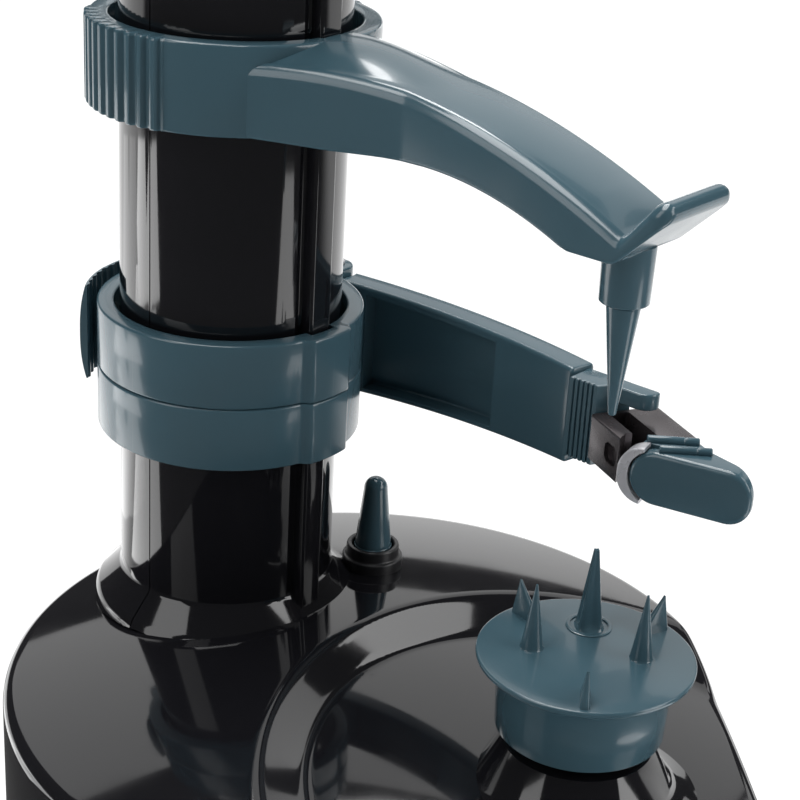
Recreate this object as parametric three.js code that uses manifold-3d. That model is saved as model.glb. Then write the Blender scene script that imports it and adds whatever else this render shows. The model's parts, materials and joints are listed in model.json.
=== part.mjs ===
// Electric fruit peeler: a domed base with a turntable, a round column with a lead screw inside,
// a top arm with a free pin, and a carriage that carries the spring-loaded blade arm.
// Millimetres, +Z up. The origin is the middle of the base plate's underside.
// The column stands at +Y and the turntable at -Y.
import * as THREE from 'three';
import { mergeVertices } from 'three/addons/utils/BufferGeometryUtils.js';
import Module from 'manifold-3d';

const wasm = await Module();
wasm.setup();

// General sizes
const FIT_GAP = 0.3;
const RUNNING_GAP = 0.4;
const OVERRUN = 4;
const MERGE_GAP = 0.0001;

// Base
const BASE_RADIUS = 79;
const NOSE_RADIUS = BASE_RADIUS * 0.519;
const DOME_TOP = 47.5;
const DOME_DROP = 9;
const COVER_WALL = 2.2;
const PLATE_THICK = 2.4;
const SPINDLE_Y = -54.6;
const COLUMN_Y = 44.6;

// Well round the turntable, let into the dome
const WELL_DEPTH = 6.5;
const WELL_TOP_RADIUS = 74;
const WELL_TOP_Y = -68;
const WELL_FLOOR_RADIUS = 56;
const WELL_FLOOR_Y = -57;

// Hub that the turntable stands on
const HUB_FOOT_RADIUS = 23.5;
const HUB_TOP_RADIUS = 15.5;
const HUB_TOP = 47.8;
const HUB_ROOT = 31;

// Turntable
const TABLE_RADIUS = 21.8;
const TABLE_TOP = 67.2;
const FLANGE_THICK = 2.2;
const FLANGE_BEVEL = 1.4;
const CUP_TOP_RADIUS = 17.5;
const CUP_FOOT_RADIUS = 16.9;
const CUP_FOOT = 50.6;
const CUP_WALL = 2.4;
const CUP_ROOF = 5;
const TABLE_BOSS_RADIUS = 6.2;
const SPIKE_RADIUS = 2.4;
const SPIKE_HEIGHT = 14;
const SPIKE_CIRCLE = 10.8;
const TALL_SPIKE_HEIGHT = 17.5;
const TALL_SPIKE_RADIUS = 3.3;
const FIN_HEIGHT = 7.6;
const FIN_THICK = 2.2;
const FIN_INNER = 12.8;
const FIN_OUTER = 21;
const FIN_PEAK = 19.5;
const TABLE_TURN = 32;

// Spindle and its bush
const SPINDLE_RADIUS = 3;
const SPINDLE_TOP = 60.5;
const BUSH_WALL = 2.2;
const BUSH_BOTTOM = 33;

// Column
const COLUMN_RADIUS = 24;
const COLUMN_WALL = 2.8;
const COLUMN_TOP = 270;
const SKIRT_RADIUS = 30;
const SKIRT_TOP = 50.6;
const SKIRT_EDGE = 45.4;
const SEAM_GAP = 0.3;
const RAIL_WIDTH = 6;
const RAIL_REACH = 26.3;
const GROOVE_WIDTH = 2;
const GROOVE_DEPTH = 1;
const SLOT_WIDTH = 10.4;
const SLOT_BOTTOM = 72;
const SLOT_TOP = 168;

// Cap on the column
const CAP_RADIUS = 27.6;
const CAP_THICK = 3;
const CAP_DOME = 6.5;
const CAP_SPIGOT = 6;

// Lead screw
const SCREW_RADIUS = 4.9;
const SCREW_ROOT_RADIUS = 3.9;
const SCREW_PITCH = 7;
const SCREW_BOTTOM = 58;
const SCREW_TOP = 254;
const SCREW_TURNS = Math.floor((SCREW_TOP - SCREW_BOTTOM) / SCREW_PITCH);
const JOURNAL_RADIUS = 3;
const JOURNAL_TOP = 266;

// Top arm
const ARM_RING_BOTTOM = 158;
const ARM_RING_TOP = 176.3;
const ARM_RING_BORE = 26;
const ARM_RING_RADIUS = 30;
const GRIP_RADIUS = 31.6;
const GRIP_RIBS = 11;
const GRIP_START = 132;
const GRIP_END = 196;
const GRIP_RIB_DEPTH = 0.9;
const ARM_WIDTH = 22;
const ARM_ROOT_WIDTH = 39.6;
const ARM_FLARE_Y = -9.3;
const ARM_CREST = 173.8;
const ARM_CREST_Y = 9;
const ARM_TOP_CURVE = 136;
const ARM_BELLY = 159;
const ARM_BELLY_Y = -14;
const ARM_BELLY_CURVE = 72;
const ARM_SHELL = 2.4;
const ARM_NOTCH_Y = -58.8;
const ARM_CHIN_Y = -48;
const ARM_CHIN = 151.2;
const TAB_LENGTH = 8.4;
const TAB_RISE = 7;
const TAB_THICK = 3.4;
const TAB_ROUND = 7;
const BOSS_RADIUS = 4.7;
const BOSS_BOTTOM = 141;
const PIN_RADIUS = 3.2;
const PIN_TIP_RADIUS = 0.7;
const PIN_TIP = 118.4;
const PIN_SHANK_RADIUS = 2.2;
const PIN_SHANK_TOP = 152.6;
const PIN_GROOVE = 1;
const CLIP_RADIUS = 4;
const PAD_WIDTH = 10;
const PAD_HEIGHT = 10;
const PAD_DEPTH = 2.6;

// Carriage
const CARRIAGE_BOTTOM = 86;
const CARRIAGE_SPLIT = 100;
const CARRIAGE_TOP = 114.2;
const CARRIAGE_BORE = 25.2;
const CARRIAGE_RADIUS = 28.9;
const KEY_BUMP_WIDTH = 13;
const KEY_BUMP_REACH = 30.6;
const GUIDE_WIDTH = 14;
const GUIDE_REACH = 32.4;
const GUIDE_BOTTOM = 91;
const GUIDE_TOP = 110;

// Half nut and release lever
const NUT_WIDTH = 9;
const NUT_BOTTOM = 96;
const NUT_TOP = 104.6;
const NUT_BODY_REACH = 32.8;
const NUT_NECK_HEIGHT = 4.6;
const NUT_NECK_WIDTH = 5;
const NUT_PLAY = 0.6;
const NUT_HEAD_THICK = 2;
const NUT_HEAD_HEIGHT = 12.6;
const LEVER_PIVOT_X = 13;
const LEVER_PIVOT_Y = 31.2;
const LEVER_BARREL_RADIUS = 3.2;
const LEVER_INNER = 31.2;
const LEVER_OUTER = 32.9;
const LEVER_START = 108;
const LEVER_END = 131;
const LEVER_CROWN_START = 90;
const LEVER_BOTTOM = 93.7;
const LEVER_TOP = 115.5;
const LEVER_RIBS = 8;
const LEVER_RIB_DEPTH = 0.4;
const FORK_THICK = 2.2;
const NECK_FOOT = 30.2;
const NECK_WIDTH = 4.4;
const LUG_RADIUS = 4.2;
const HINGE_PIN_RADIUS = 1.4;
const HINGE_PIN_HEAD = 2.3;

// Blade arm
const HINGE_X = 33.8;
const HINGE_LUG = 6.6;
const HINGE_BARREL_RADIUS = 4;
const BARREL_TOP = 101;
const BLADE_ARM_CURVE = 184;
const BLADE_ARM_BULGE = 36;
const BLADE_ARM_BULGE_Y = 9;
const BLADE_ARM_THICK = 6.6;
const BLADE_ARM_END_Y = -26.4;
const BLADE_ARM_ROOT_TOP = 112.6;
const BLADE_ARM_ROOT_BOTTOM = 85.6;
const BLADE_ARM_END_TOP = 110.6;
const BLADE_ARM_END_BOTTOM = 89;
const POCKET_END_Y = -4;
const POCKET_START_Y = 33;
const POCKET_DEPTH = 4.4;
const POCKET_WALL = 2;
const POCKET_SILL = 1.3;
const HINGE_CLEARANCE = 5.2;
const SPRING_RADIUS = 2.6;
const SPRING_WIRE = 0.4;
const SPRING_PITCH = 1.25;
const SPRING_TURNS = 4;

// Clip on the arm's end, and the yoke that swivels in it
const CLIP_X = 30.9;
const CLIP_BOTTOM = 91.8;
const CLIP_TOP = 109.8;
const CLIP_LENGTH = 7;
const CLIP_WIDTH = 7;
const CLIP_RIBS = 6;
const CLIP_RIB_DEPTH = 0.5;
const TONGUE_LENGTH = 7;
const TONGUE_THICK = 2.2;
const TONGUE_HEIGHT = 11;
const TONGUE_SHIFT = 1.9;
const JAW_LENGTH = 11;
const JAW_HEIGHT = 3.6;
const JAW_WIDTH = 4.2;
const YOKE_TURN = -28;
const YOKE_AXIS = 99;
const YOKE_STEM_RADIUS = 1.8;
const YOKE_STEM_LENGTH = 4.6;
const YOKE_LEFT = 5.4;
const YOKE_RIGHT = 10.1;
const YOKE_WALL = 1.4;
const YOKE_CHANNEL_LEFT = 1.8;
const YOKE_CHANNEL_RIGHT = 2.7;
const YOKE_BOTTOM = 94;
const YOKE_TOP = 104;
const YOKE_LENGTH = 20;
const YOKE_RECESS_WIDTH = 4;
const YOKE_RECESS_HEIGHT = 4.4;
const YOKE_RECESS_DEPTH = 1;
const YOKE_RECESS_Y = 9;

// Guide shoe, blade and holder, side by side at the yoke's end
const SHOE_X = 19.8;
const SHOE_Y = -47.6;
const SHOE_TURN = 12;
const SHOE_LENGTH = 25.5;
const SHOE_BOTTOM = 91.6;
const SHOE_TOP = 103.1;
const SHOE_THICK = 2.8;
const SHOE_REAR_ROUND = 5.6;
const SHOE_TIP_ROUND = 5;
const SHOE_TIP_THICK = 2;
const SHOE_ROOF = 2.6;
const BLADE_THICK = 0.8;
const BLADE_LEAD = 2.5;
const BLADE_LENGTH = 22;
const BLADE_SLIT = 1.8;
const BLADE_EDGE = 1.6;
const HINGE_BAR_RADIUS = 0.9;
const HINGE_BAR_LENGTH = 10.6;
const SLANT_TURN = 25;
const SLANT_X = 1.6;
const SLANT_Y = 5.3;
const HOLDER_SHIFT = 2.1;
const HOLDER_RISE = 0.8;

// Start button, collar and switch
const BUTTON_X = 28.5;
const BUTTON_Y = 24.5;
const BUTTON_TOP = 68.4;
const BUTTON_FOOT = 49.4;
const BUTTON_FLANGE_RADIUS = 4.4;
const BUTTON_FLANGE = 1.6;
const BUTTON_LOW_RADIUS = 4.2;
const BUTTON_TIP_RADIUS = 2.7;
const BUTTON_STEM_RADIUS = 1.5;
const COLLAR_RADIUS = 7.1;
const COLLAR_STEP_RADIUS = 6.2;
const COLLAR_TOP = 51.4;
const COLLAR_STEP = 48.6;
const BUTTON_TRAVEL = 2.5;
const SWITCH_WIDTH = 12;
const SWITCH_DEPTH = 6;
const SWITCH_HEIGHT = 6.4;

// Battery bay
const CELL_RADIUS = BASE_RADIUS * 0.09;
const CELL_LENGTH = BASE_RADIUS * 0.62;
const CELL_NUB_RADIUS = 2.6;
const CELL_NUB = 1;
const CELL_COUNT = 4;
const CELL_PITCH = CELL_RADIUS * 2 + FIT_GAP;
const BAY_WALL = 1.5;
const BAY_RIGHT = BASE_RADIUS * -0.183;
const CONTACT_THICK = 0.5;
const DOOR_GRIP_RADIUS = 4.5;

// Gear train
const GEAR_FACE = 3.2;
const LAYER_STEP = 4;
const LAYER_START = 4.2;
const AXLE_RADIUS = 1.5;
const LAYSHAFT_X = BASE_RADIUS * 0.304;
const LAYSHAFT_Y = BASE_RADIUS * -0.038;
const STEP_GEAR_X = BASE_RADIUS * 0.557;
const STEP_GEAR_Y = BASE_RADIUS * -0.051;
const MOTOR_X = BASE_RADIUS * 0.633;
const MOTOR_Y = BASE_RADIUS * -0.418;
const MOTOR_RADIUS = BASE_RADIUS * 0.152;
const MOTOR_HEIGHT = 16;
const MOTOR_SHAFT_RADIUS = 1;
const TOP_LAYER = 20;
const GEAR_PLATE_BOTTOM = 25;
const GEAR_PLATE_THICK = 2;
const PLATE_LEG_RADIUS = 2.5;

// Feet, screws and power socket
const FOOT_RADIUS = 6;
const FOOT_HEIGHT = 2.7;
const FOOT_STUD_RADIUS = 2;
const FOOT_CIRCLE = BASE_RADIUS * 0.81;
const SCREW_HEAD_RADIUS = 2.8;
const SCREW_HEAD = 1.4;
const SCREW_SHANK_RADIUS = 1.3;
const SCREW_LENGTH = 14;
const SCREW_CIRCLE = BASE_RADIUS * 0.861;
const SCREW_BOSS_RADIUS = 3.6;
const JACK_ANGLE = 128;
const JACK_HEIGHT = 12;
const JACK_RADIUS = 4.2;
const JACK_HOLE_RADIUS = 2.8;
const JACK_PIN_RADIUS = 1;
const JACK_BODY_WIDTH = 10;
const JACK_BODY_LENGTH = 9;

// Places and counts as shares or angles, chosen by hand
const HALF = 1 / 2;
const SOFT_EDGE_SHARE = 0.3;
const SPIKE_TIP_SHARE = 0.1;
const PIN_WAIST_SHARE = 0.7;
const RIB_SHARE = 0.4;
const LEVER_RIB_SHARE = 0.6;
const WEB_SHARE = 0.6;
const GRIP_RIB_SHARE = 0.3;
const RIDGE_ANGLES = [0, 60, 120];
const SPIKE_ANGLES = [90, -86];
const FIN_ANGLES = [48, -48, 182];
const FOOT_ANGLES = [50, 130, 230, 310];
const SCREW_ANGLES = [35, 145, 240, 300];
const GEAR_PLATE_SHARES = [[-0.15, -0.84], [0.15, -0.84], [0.66, -0.6], [0.87, -0.13], [0.78, 0.38],
  [0.2, 0.79], [-0.15, 0.79]];
const PLATE_LEG_SHARES = [[0.73, 0.33], [0.28, -0.78], [-0.1, -0.08], [0.28, 0.74]];
const ARM_FLARE_BEND = 1.2;
const ARM_ROOT_SHARE = 0.75;
const TOOTH_ROOT_SHARE = 0.27;
const TOOTH_TIP_SHARE = 0.1;
const TOOTH_OUT_SHARE = 0.8;
const TOOTH_IN_SHARE = 1.15;

const DEGREE = Math.PI / 180;
const FULL_TURN = 2 * Math.PI;

// Finishes
const looks = {
  black: { color: 0x101014, roughness: 0.12, metalness: 0 },
  teal: { color: 0x3c5963, roughness: 0.28, metalness: 0 },
  steel: { color: 0xb8bcc0, roughness: 0.3, metalness: 1 },
  darkSteel: { color: 0x5c5652, roughness: 0.35, metalness: 0.9 },
  rubber: { color: 0x1c1c1e, roughness: 0.85, metalness: 0 },
  nylon: { color: 0xe2ded2, roughness: 0.5, metalness: 0 },
  brass: { color: 0xb79a5c, roughness: 0.35, metalness: 1 },
  cell: { color: 0x3d6f9e, roughness: 0.4, metalness: 0.2 },
};

const peeler = new THREE.Group();

// Turns a closed geometry into a solid, with its faces pointing out.
function toSolid(geometry) {
  const bare = geometry.clone();
  bare.deleteAttribute('normal');
  bare.deleteAttribute('uv');
  const merged = mergeVertices(bare, MERGE_GAP);
  const place = merged.attributes.position.array;
  const order = [];
  let volume = 0;
  const corner = (k) => new THREE.Vector3().fromArray(place, 3 * k);
  for (let i = 0; i < merged.index.count; i += 3) {
    const [a, b, c] = [0, 1, 2].map((k) => merged.index.array[i + k]);
    if (a === b || b === c || a === c) continue;
    order.push(a, b, c);
    volume += corner(a).dot(corner(b).cross(corner(c)));
  }
  if (volume < 0) order.reverse();
  return new wasm.Manifold(new wasm.Mesh({
    numProp: 3,
    vertProperties: new Float32Array(place),
    triVerts: new Uint32Array(order),
  }));
}

function toGeometry(solid) {
  const mesh = solid.getMesh();
  const geometry = new THREE.BufferGeometry();
  geometry.setAttribute('position', new THREE.BufferAttribute(new Float32Array(mesh.vertProperties), 3));
  geometry.setIndex(new THREE.BufferAttribute(new Uint32Array(mesh.triVerts), 1));
  return geometry;
}

function joined(...parts) {
  return toGeometry(parts.map(toSolid).reduce((sum, next) => sum.add(next)));
}

function cut(body, ...tools) {
  return toGeometry(tools.map(toSolid).reduce((rest, tool) => rest.subtract(tool), toSolid(body)));
}

function common(first, second) {
  return toGeometry(toSolid(first).intersect(toSolid(second)));
}

// A box with its middle at (x, y) and its bottom at z.
function block(width, depth, height, x, y, z) {
  return new THREE.BoxGeometry(width, depth, height).translate(x, y, z + height * HALF);
}

// A box between two corners.
function span(x1, x2, y1, y2, z1, z2) {
  return block(x2 - x1, y2 - y1, z2 - z1, (x1 + x2) * HALF, (y1 + y2) * HALF, z1);
}

// An upright round bar or cone from z1 to z2.
function bar(lowRadius, highRadius, z1, z2, x, y, sides = 18) {
  const shape = new THREE.CylinderGeometry(highRadius, lowRadius, z2 - z1, sides);
  return shape.rotateX(90 * DEGREE).translate(x, y, (z1 + z2) * HALF);
}

// A body turned about an upright axis at (x, y) from [radius, height] points.
function turned(profile, x, y, sides = 48) {
  const points = profile.map(([radius, height]) => new THREE.Vector2(radius, height));
  const shape = new THREE.LatheGeometry(points, sides);
  const place = shape.attributes.position;
  points.forEach((point, j) => {
    const last = sides * points.length + j;
    place.setXYZ(last, place.getX(j), place.getY(j), place.getZ(j));
  });
  return shape.rotateX(90 * DEGREE).translate(x, y, 0);
}

// An outline of [x, y] points, raised from z1 to z2.
function prism(outline, z1, z2) {
  const shape = new THREE.Shape(outline.map(([x, y]) => new THREE.Vector2(x, y)));
  const raised = new THREE.ExtrudeGeometry(shape, { depth: z2 - z1, bevelEnabled: false });
  return raised.translate(0, 0, z1);
}

// An outline of [y, z] points, carried along X from x1 to x2.
function sidePrism(outline, x1, x2) {
  const raised = prism(outline, x1, x2);
  return raised.applyMatrix4(new THREE.Matrix4().set(0, 0, 1, 0, 1, 0, 0, 0, 0, 1, 0, 0, 0, 0, 0, 1));
}

function arc(radius, from, to, steps, x = 0, y = 0) {
  return Array.from({ length: steps + 1 }, (_, i) => {
    const angle = (from + (to - from) * i / steps) * DEGREE;
    return [x + radius * Math.cos(angle), y + radius * Math.sin(angle)];
  });
}

// A curved wall between two radii and two angles in degrees.
function sector(inner, outer, from, to, z1, z2, steps, x = 0, y = 0) {
  const out = arc(outer, from, to, steps, x, y);
  return prism([...out, ...arc(inner, to, from, steps, x, y)], z1, z2);
}

function tube(outer, inner, z1, z2, x, y, sides = 48) {
  return turned([[inner, z1], [outer, z1], [outer, z2], [inner, z2], [inner, z1]], x, y, sides);
}

// A coil about an upright axis, as one unbroken wire. It reports the wire's least gap to itself.
function coil(radius, wire, bottom, pitch, turns) {
  const steps = turns * 8;
  const place = [];
  const order = [];
  for (let i = 0; i <= steps; i += 1) {
    const angle = i * FULL_TURN / 8;
    for (let j = 0; j < 5; j += 1) {
      const side = j * FULL_TURN / 5;
      const reach = radius + wire * Math.cos(side);
      place.push(reach * Math.cos(angle), reach * Math.sin(angle));
      place.push(bottom + wire + pitch * i / 8 + wire * Math.sin(side));
    }
  }
  for (let i = 0; i < steps; i += 1) {
    for (let j = 0; j < 5; j += 1) {
      const [a, b] = [i * 5 + j, i * 5 + (j + 1) % 5];
      order.push(a, a + 5, b, b, a + 5, b + 5);
    }
  }
  const last = steps * 5;
  for (let j = 1; j < 4; j += 1) {
    order.push(0, j, j + 1);
    order.push(last, last + j + 1, last + j);
  }
  let least = Infinity;
  const point = (k) => new THREE.Vector3().fromArray(place, 3 * k);
  for (let k = 0; k < place.length / 3; k += 1) {
    for (let m = k + 20; m < place.length / 3; m += 1) {
      least = Math.min(least, point(k).distanceTo(point(m)));
    }
  }
  console.log(`least gap of the spring wire to itself: ${least.toFixed(3)} mm`);
  return geometryOf(place, order);
}

function geometryOf(place, order) {
  const geometry = new THREE.BufferGeometry();
  geometry.setAttribute('position', new THREE.Float32BufferAttribute(place, 3));
  geometry.setIndex(order);
  return geometry;
}

// Adds one named piece to the object. Its shape is built about its own place.
function piece(name, geometry, look, place = [0, 0, 0], turn = 0) {
  const shape = toGeometry(toSolid(geometry));
  shape.computeVertexNormals();
  const mesh = new THREE.Mesh(shape, new THREE.MeshStandardMaterial(looks[look]));
  mesh.name = name;
  mesh.position.set(...place);
  mesh.rotation.z = turn;
  peeler.add(mesh);
}

// Base shapes

function baseOutline(inset) {
  const big = BASE_RADIUS - inset;
  const small = NOSE_RADIUS - inset;
  const lean = Math.asin((big - small) / -SPINDLE_Y) / DEGREE;
  const rear = arc(big, -lean, 180 + lean, 36);
  const nose = arc(small, 180 + lean, 360 - lean, 10, 0, SPINDLE_Y);
  return [...rear, ...nose];
}

const domeHeight = (x, y) => DOME_TOP - DOME_DROP * (x * x + y * y) / (BASE_RADIUS * BASE_RADIUS);

// Everything under the domed top, raised or lowered by an offset.
function underDome(offset) {
  const reach = NOSE_RADIUS - SPINDLE_Y + OVERRUN;
  const steps = 6;
  const profile = [[0, -OVERRUN], [reach, -OVERRUN]];
  for (let i = steps; i >= 0; i -= 1) {
    const radius = reach * i / steps;
    profile.push([radius, domeHeight(radius, 0) + offset]);
  }
  return turned(profile, 0, 0, 40);
}

// The well follows the dome: rings of points at a depth below it.
function wellBody(grow, depth) {
  const sides = 36;
  const slope = (WELL_TOP_RADIUS - WELL_FLOOR_RADIUS) / WELL_DEPTH;
  const rings = [];
  const inner = 3;
  const shift = (WELL_TOP_Y - WELL_FLOOR_Y) / WELL_DEPTH;
  const ringAt = (level, share) => ({
    radius: (WELL_FLOOR_RADIUS + grow + slope * (level + WELL_DEPTH)) * share,
    y: WELL_FLOOR_Y + shift * (level + WELL_DEPTH),
    level,
  });
  for (let i = 1; i < inner; i += 1) rings.push(ringAt(-depth, i / inner));
  rings.push(ringAt(-depth, 1), ringAt(0, 1), ringAt(OVERRUN, 1));
  for (let i = inner - 1; i > 0; i -= 1) rings.push(ringAt(OVERRUN, i / inner));
  const place = [];
  const order = [];
  const push = (x, y, level) => place.push(x, y, domeHeight(x, y) + level);
  rings.forEach((ring) => {
    for (let j = 0; j < sides; j += 1) {
      const angle = j * FULL_TURN / sides;
      push(ring.radius * Math.cos(angle), ring.y + ring.radius * Math.sin(angle), ring.level);
    }
  });
  push(0, rings[0].y, rings[0].level);
  const top = rings[rings.length - 1];
  push(0, top.y, top.level);
  const first = rings.length * sides;
  for (let j = 0; j < sides; j += 1) {
    const next = (j + 1) % sides;
    for (let i = 0; i < rings.length - 1; i += 1) {
      const [a, b] = [i * sides + j, i * sides + next];
      order.push(a, b, a + sides, b, b + sides, a + sides);
    }
    const lastRing = (rings.length - 1) * sides;
    order.push(first, next, j);
    order.push(first + 1, lastRing + j, lastRing + next);
  }
  return geometryOf(place, order);
}

const polar = (radius, angle) => [radius * Math.cos(angle * DEGREE), radius * Math.sin(angle * DEGREE)];
const plateTop = PLATE_THICK + FIT_GAP;
const bayLength = CELL_LENGTH + CELL_NUB + 2 * (CONTACT_THICK + FIT_GAP) + FIT_GAP;
const bayLeft = BAY_RIGHT - bayLength;
const bayHalfWidth = CELL_COUNT * CELL_PITCH * HALF + FIT_GAP;
const cellAxis = PLATE_THICK + FIT_GAP + CELL_RADIUS;
const bayRoof = cellAxis + CELL_RADIUS + FIT_GAP;
const bushRadius = SPINDLE_RADIUS + FIT_GAP + BUSH_WALL;
const [jackX, jackY] = polar(BASE_RADIUS, JACK_ANGLE);

// A round bar that lies level and points out through the wall at the power socket.
function jackBar(radius, back, front, sides = 20) {
  const shape = new THREE.CylinderGeometry(radius, radius, front - back, sides);
  shape.rotateZ(90 * DEGREE).translate((back + front) * HALF, 0, 0);
  return shape.rotateZ(JACK_ANGLE * DEGREE).translate(jackX, jackY, JACK_HEIGHT);
}

function baseCover() {
  const outer = common(prism(baseOutline(0), 0, DOME_TOP + OVERRUN), underDome(0));
  const dished = cut(outer, wellBody(0, WELL_DEPTH));
  const hub = bar(HUB_FOOT_RADIUS, HUB_TOP_RADIUS, HUB_ROOT, HUB_TOP, 0, SPINDLE_Y, 40);
  const room = common(prism(baseOutline(COVER_WALL), -OVERRUN, DOME_TOP), underDome(-COVER_WALL));
  const hollow = cut(room, wellBody(COVER_WALL, WELL_DEPTH + COVER_WALL));
  const shell = joined(cut(dished, hollow), hub);
  const bosses = SCREW_ANGLES.map((angle) => {
    const [x, y] = polar(SCREW_CIRCLE, angle);
    const boss = bar(SCREW_BOSS_RADIUS, SCREW_BOSS_RADIUS, plateTop, DOME_TOP, x, y, 14);
    const skin = COVER_WALL * HALF;
    return cut(common(boss, underDome(-skin)), wellBody(skin, WELL_DEPTH + skin));
  });
  const bossed = joined(shell, ...bosses);
  const holes = SCREW_ANGLES.map((angle) => {
    const [x, y] = polar(SCREW_CIRCLE, angle);
    const reach = SCREW_SHANK_RADIUS + FIT_GAP;
    return bar(reach, reach, -OVERRUN, SCREW_LENGTH + plateTop, x, y, 10);
  });
  const spindleBore = bar(bushRadius + FIT_GAP, bushRadius + FIT_GAP, 0, HUB_TOP + OVERRUN, 0, SPINDLE_Y);
  const screwBore = bar(SCREW_RADIUS * 2, SCREW_RADIUS * 2, 0, DOME_TOP + OVERRUN, 0, COLUMN_Y);
  const stemReach = BUTTON_STEM_RADIUS + RUNNING_GAP;
  const buttonBore = bar(stemReach, stemReach, 0, DOME_TOP + OVERRUN, BUTTON_X, BUTTON_Y, 14);
  const jackBore = jackBar(JACK_RADIUS + FIT_GAP, -COVER_WALL - OVERRUN, OVERRUN);
  return cut(bossed, ...holes, spindleBore, screwBore, buttonBore, jackBore);
}

function basePlate() {
  const floor = prism(baseOutline(COVER_WALL + FIT_GAP), 0, PLATE_THICK);
  const box = span(bayLeft - BAY_WALL, BAY_RIGHT + BAY_WALL, -bayHalfWidth - BAY_WALL,
    bayHalfWidth + BAY_WALL, 0, bayRoof + BAY_WALL);
  const inside = span(bayLeft, BAY_RIGHT, -bayHalfWidth, bayHalfWidth, -OVERRUN, bayRoof);
  const studs = FOOT_ANGLES.map((angle) => {
    const reach = FOOT_STUD_RADIUS + FIT_GAP;
    return bar(reach, reach, -OVERRUN, PLATE_THICK + OVERRUN, ...polar(FOOT_CIRCLE, angle), 12);
  });
  const holes = SCREW_ANGLES.map((angle) => {
    const reach = SCREW_SHANK_RADIUS + RUNNING_GAP;
    return bar(reach, reach, -OVERRUN, PLATE_THICK + OVERRUN, ...polar(SCREW_CIRCLE, angle), 10);
  });
  return cut(joined(floor, box), inside, ...studs, ...holes);
}

function batteryDoor() {
  const door = span(bayLeft + FIT_GAP, BAY_RIGHT - FIT_GAP, -bayHalfWidth + FIT_GAP,
    bayHalfWidth - FIT_GAP, 0, PLATE_THICK);
  const grip = bar(DOOR_GRIP_RADIUS, DOOR_GRIP_RADIUS, -OVERRUN, PLATE_THICK * HALF,
    (bayLeft + BAY_RIGHT) * HALF, -bayHalfWidth + 2 * DOOR_GRIP_RADIUS, 20);
  return cut(door, grip);
}

function cell(index) {
  const body = bar(CELL_RADIUS, CELL_RADIUS, 0, CELL_LENGTH, 0, 0, 20);
  const nub = bar(CELL_NUB_RADIUS, CELL_NUB_RADIUS, CELL_LENGTH - CELL_NUB, CELL_LENGTH + CELL_NUB, 0,
    0, 12);
  const whole = joined(body, nub).rotateY(90 * DEGREE);
  const way = index % 2;
  if (way) whole.rotateZ(180 * DEGREE);
  const start = bayLeft + CONTACT_THICK + 2 * FIT_GAP;
  const x = way ? start + CELL_LENGTH + CELL_NUB : start;
  const y = (index - (CELL_COUNT - 1) * HALF) * CELL_PITCH;
  piece(`battery_cell_${index + 1}`, whole, 'cell', [x, y, cellAxis]);
}

function foot(index) {
  const shape = turned([[0, -FOOT_HEIGHT - FIT_GAP], [FOOT_RADIUS - FIT_GAP, -FOOT_HEIGHT - FIT_GAP],
    [FOOT_RADIUS, -FOOT_HEIGHT], [FOOT_RADIUS, -FIT_GAP], [FOOT_STUD_RADIUS, -FIT_GAP],
    [FOOT_STUD_RADIUS, PLATE_THICK], [0, PLATE_THICK]], 0, 0, 20);
  const place = polar(FOOT_CIRCLE, FOOT_ANGLES[index]);
  piece(`foot_${index + 1}`, shape, 'rubber', [...place, 0]);
}

function baseScrew(index) {
  const shape = turned([[0, -SCREW_HEAD - FIT_GAP], [SCREW_HEAD_RADIUS, -SCREW_HEAD - FIT_GAP],
    [SCREW_HEAD_RADIUS, -FIT_GAP], [SCREW_SHANK_RADIUS, -FIT_GAP], [SCREW_SHANK_RADIUS, SCREW_LENGTH],
    [0, SCREW_LENGTH]], 0, 0, 12);
  const place = polar(SCREW_CIRCLE, SCREW_ANGLES[index]);
  piece(`base_screw_${index + 1}`, shape, 'steel', [...place, 0]);
}

function dcJack() {
  const deep = -COVER_WALL - 1.6 * FIT_GAP;
  const box = block(JACK_BODY_LENGTH, JACK_BODY_WIDTH, JACK_BODY_WIDTH,
    deep - JACK_BODY_LENGTH * HALF, 0, -JACK_BODY_WIDTH * HALF);
  box.rotateZ(JACK_ANGLE * DEGREE).translate(jackX, jackY, JACK_HEIGHT);
  const body = joined(box, jackBar(JACK_RADIUS, deep - FIT_GAP, -FIT_GAP));
  const pin = jackBar(JACK_PIN_RADIUS, deep - JACK_BODY_LENGTH * HALF, -COVER_WALL * HALF, 10);
  return joined(cut(body, jackBar(JACK_HOLE_RADIUS, deep - JACK_BODY_LENGTH * HALF, OVERRUN)), pin);
}

// Gears. A train's module follows from its centre distances, so that the teeth always meet.

const distance = (a, b) => Math.hypot(a.x - b.x, a.y - b.y);
const bearing = (a, b) => Math.atan2(b.y - a.y, b.x - a.x);

function gearBlank(teeth, module, phase) {
  const radius = teeth * module * HALF;
  const root = radius - TOOTH_IN_SHARE * module;
  const tip = radius + TOOTH_OUT_SHARE * module;
  const outline = [];
  for (let i = 0; i < teeth; i += 1) {
    const middle = phase + i * FULL_TURN / teeth;
    const wide = TOOTH_ROOT_SHARE * FULL_TURN / teeth;
    const slim = TOOTH_TIP_SHARE * FULL_TURN / teeth;
    [[root, -wide], [tip, -slim], [tip, slim], [root, wide]].forEach(([reach, turn]) => {
      outline.push([reach * Math.cos(middle + turn), reach * Math.sin(middle + turn)]);
    });
  }
  return outline;
}

function gearWheel(teeth, module, phase, bore, z1, z2) {
  const hole = bar(bore, bore, z1 - OVERRUN, z2 + OVERRUN, 0, 0, 12);
  return cut(prism(gearBlank(teeth, module, phase), z1, z2), hole);
}

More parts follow.
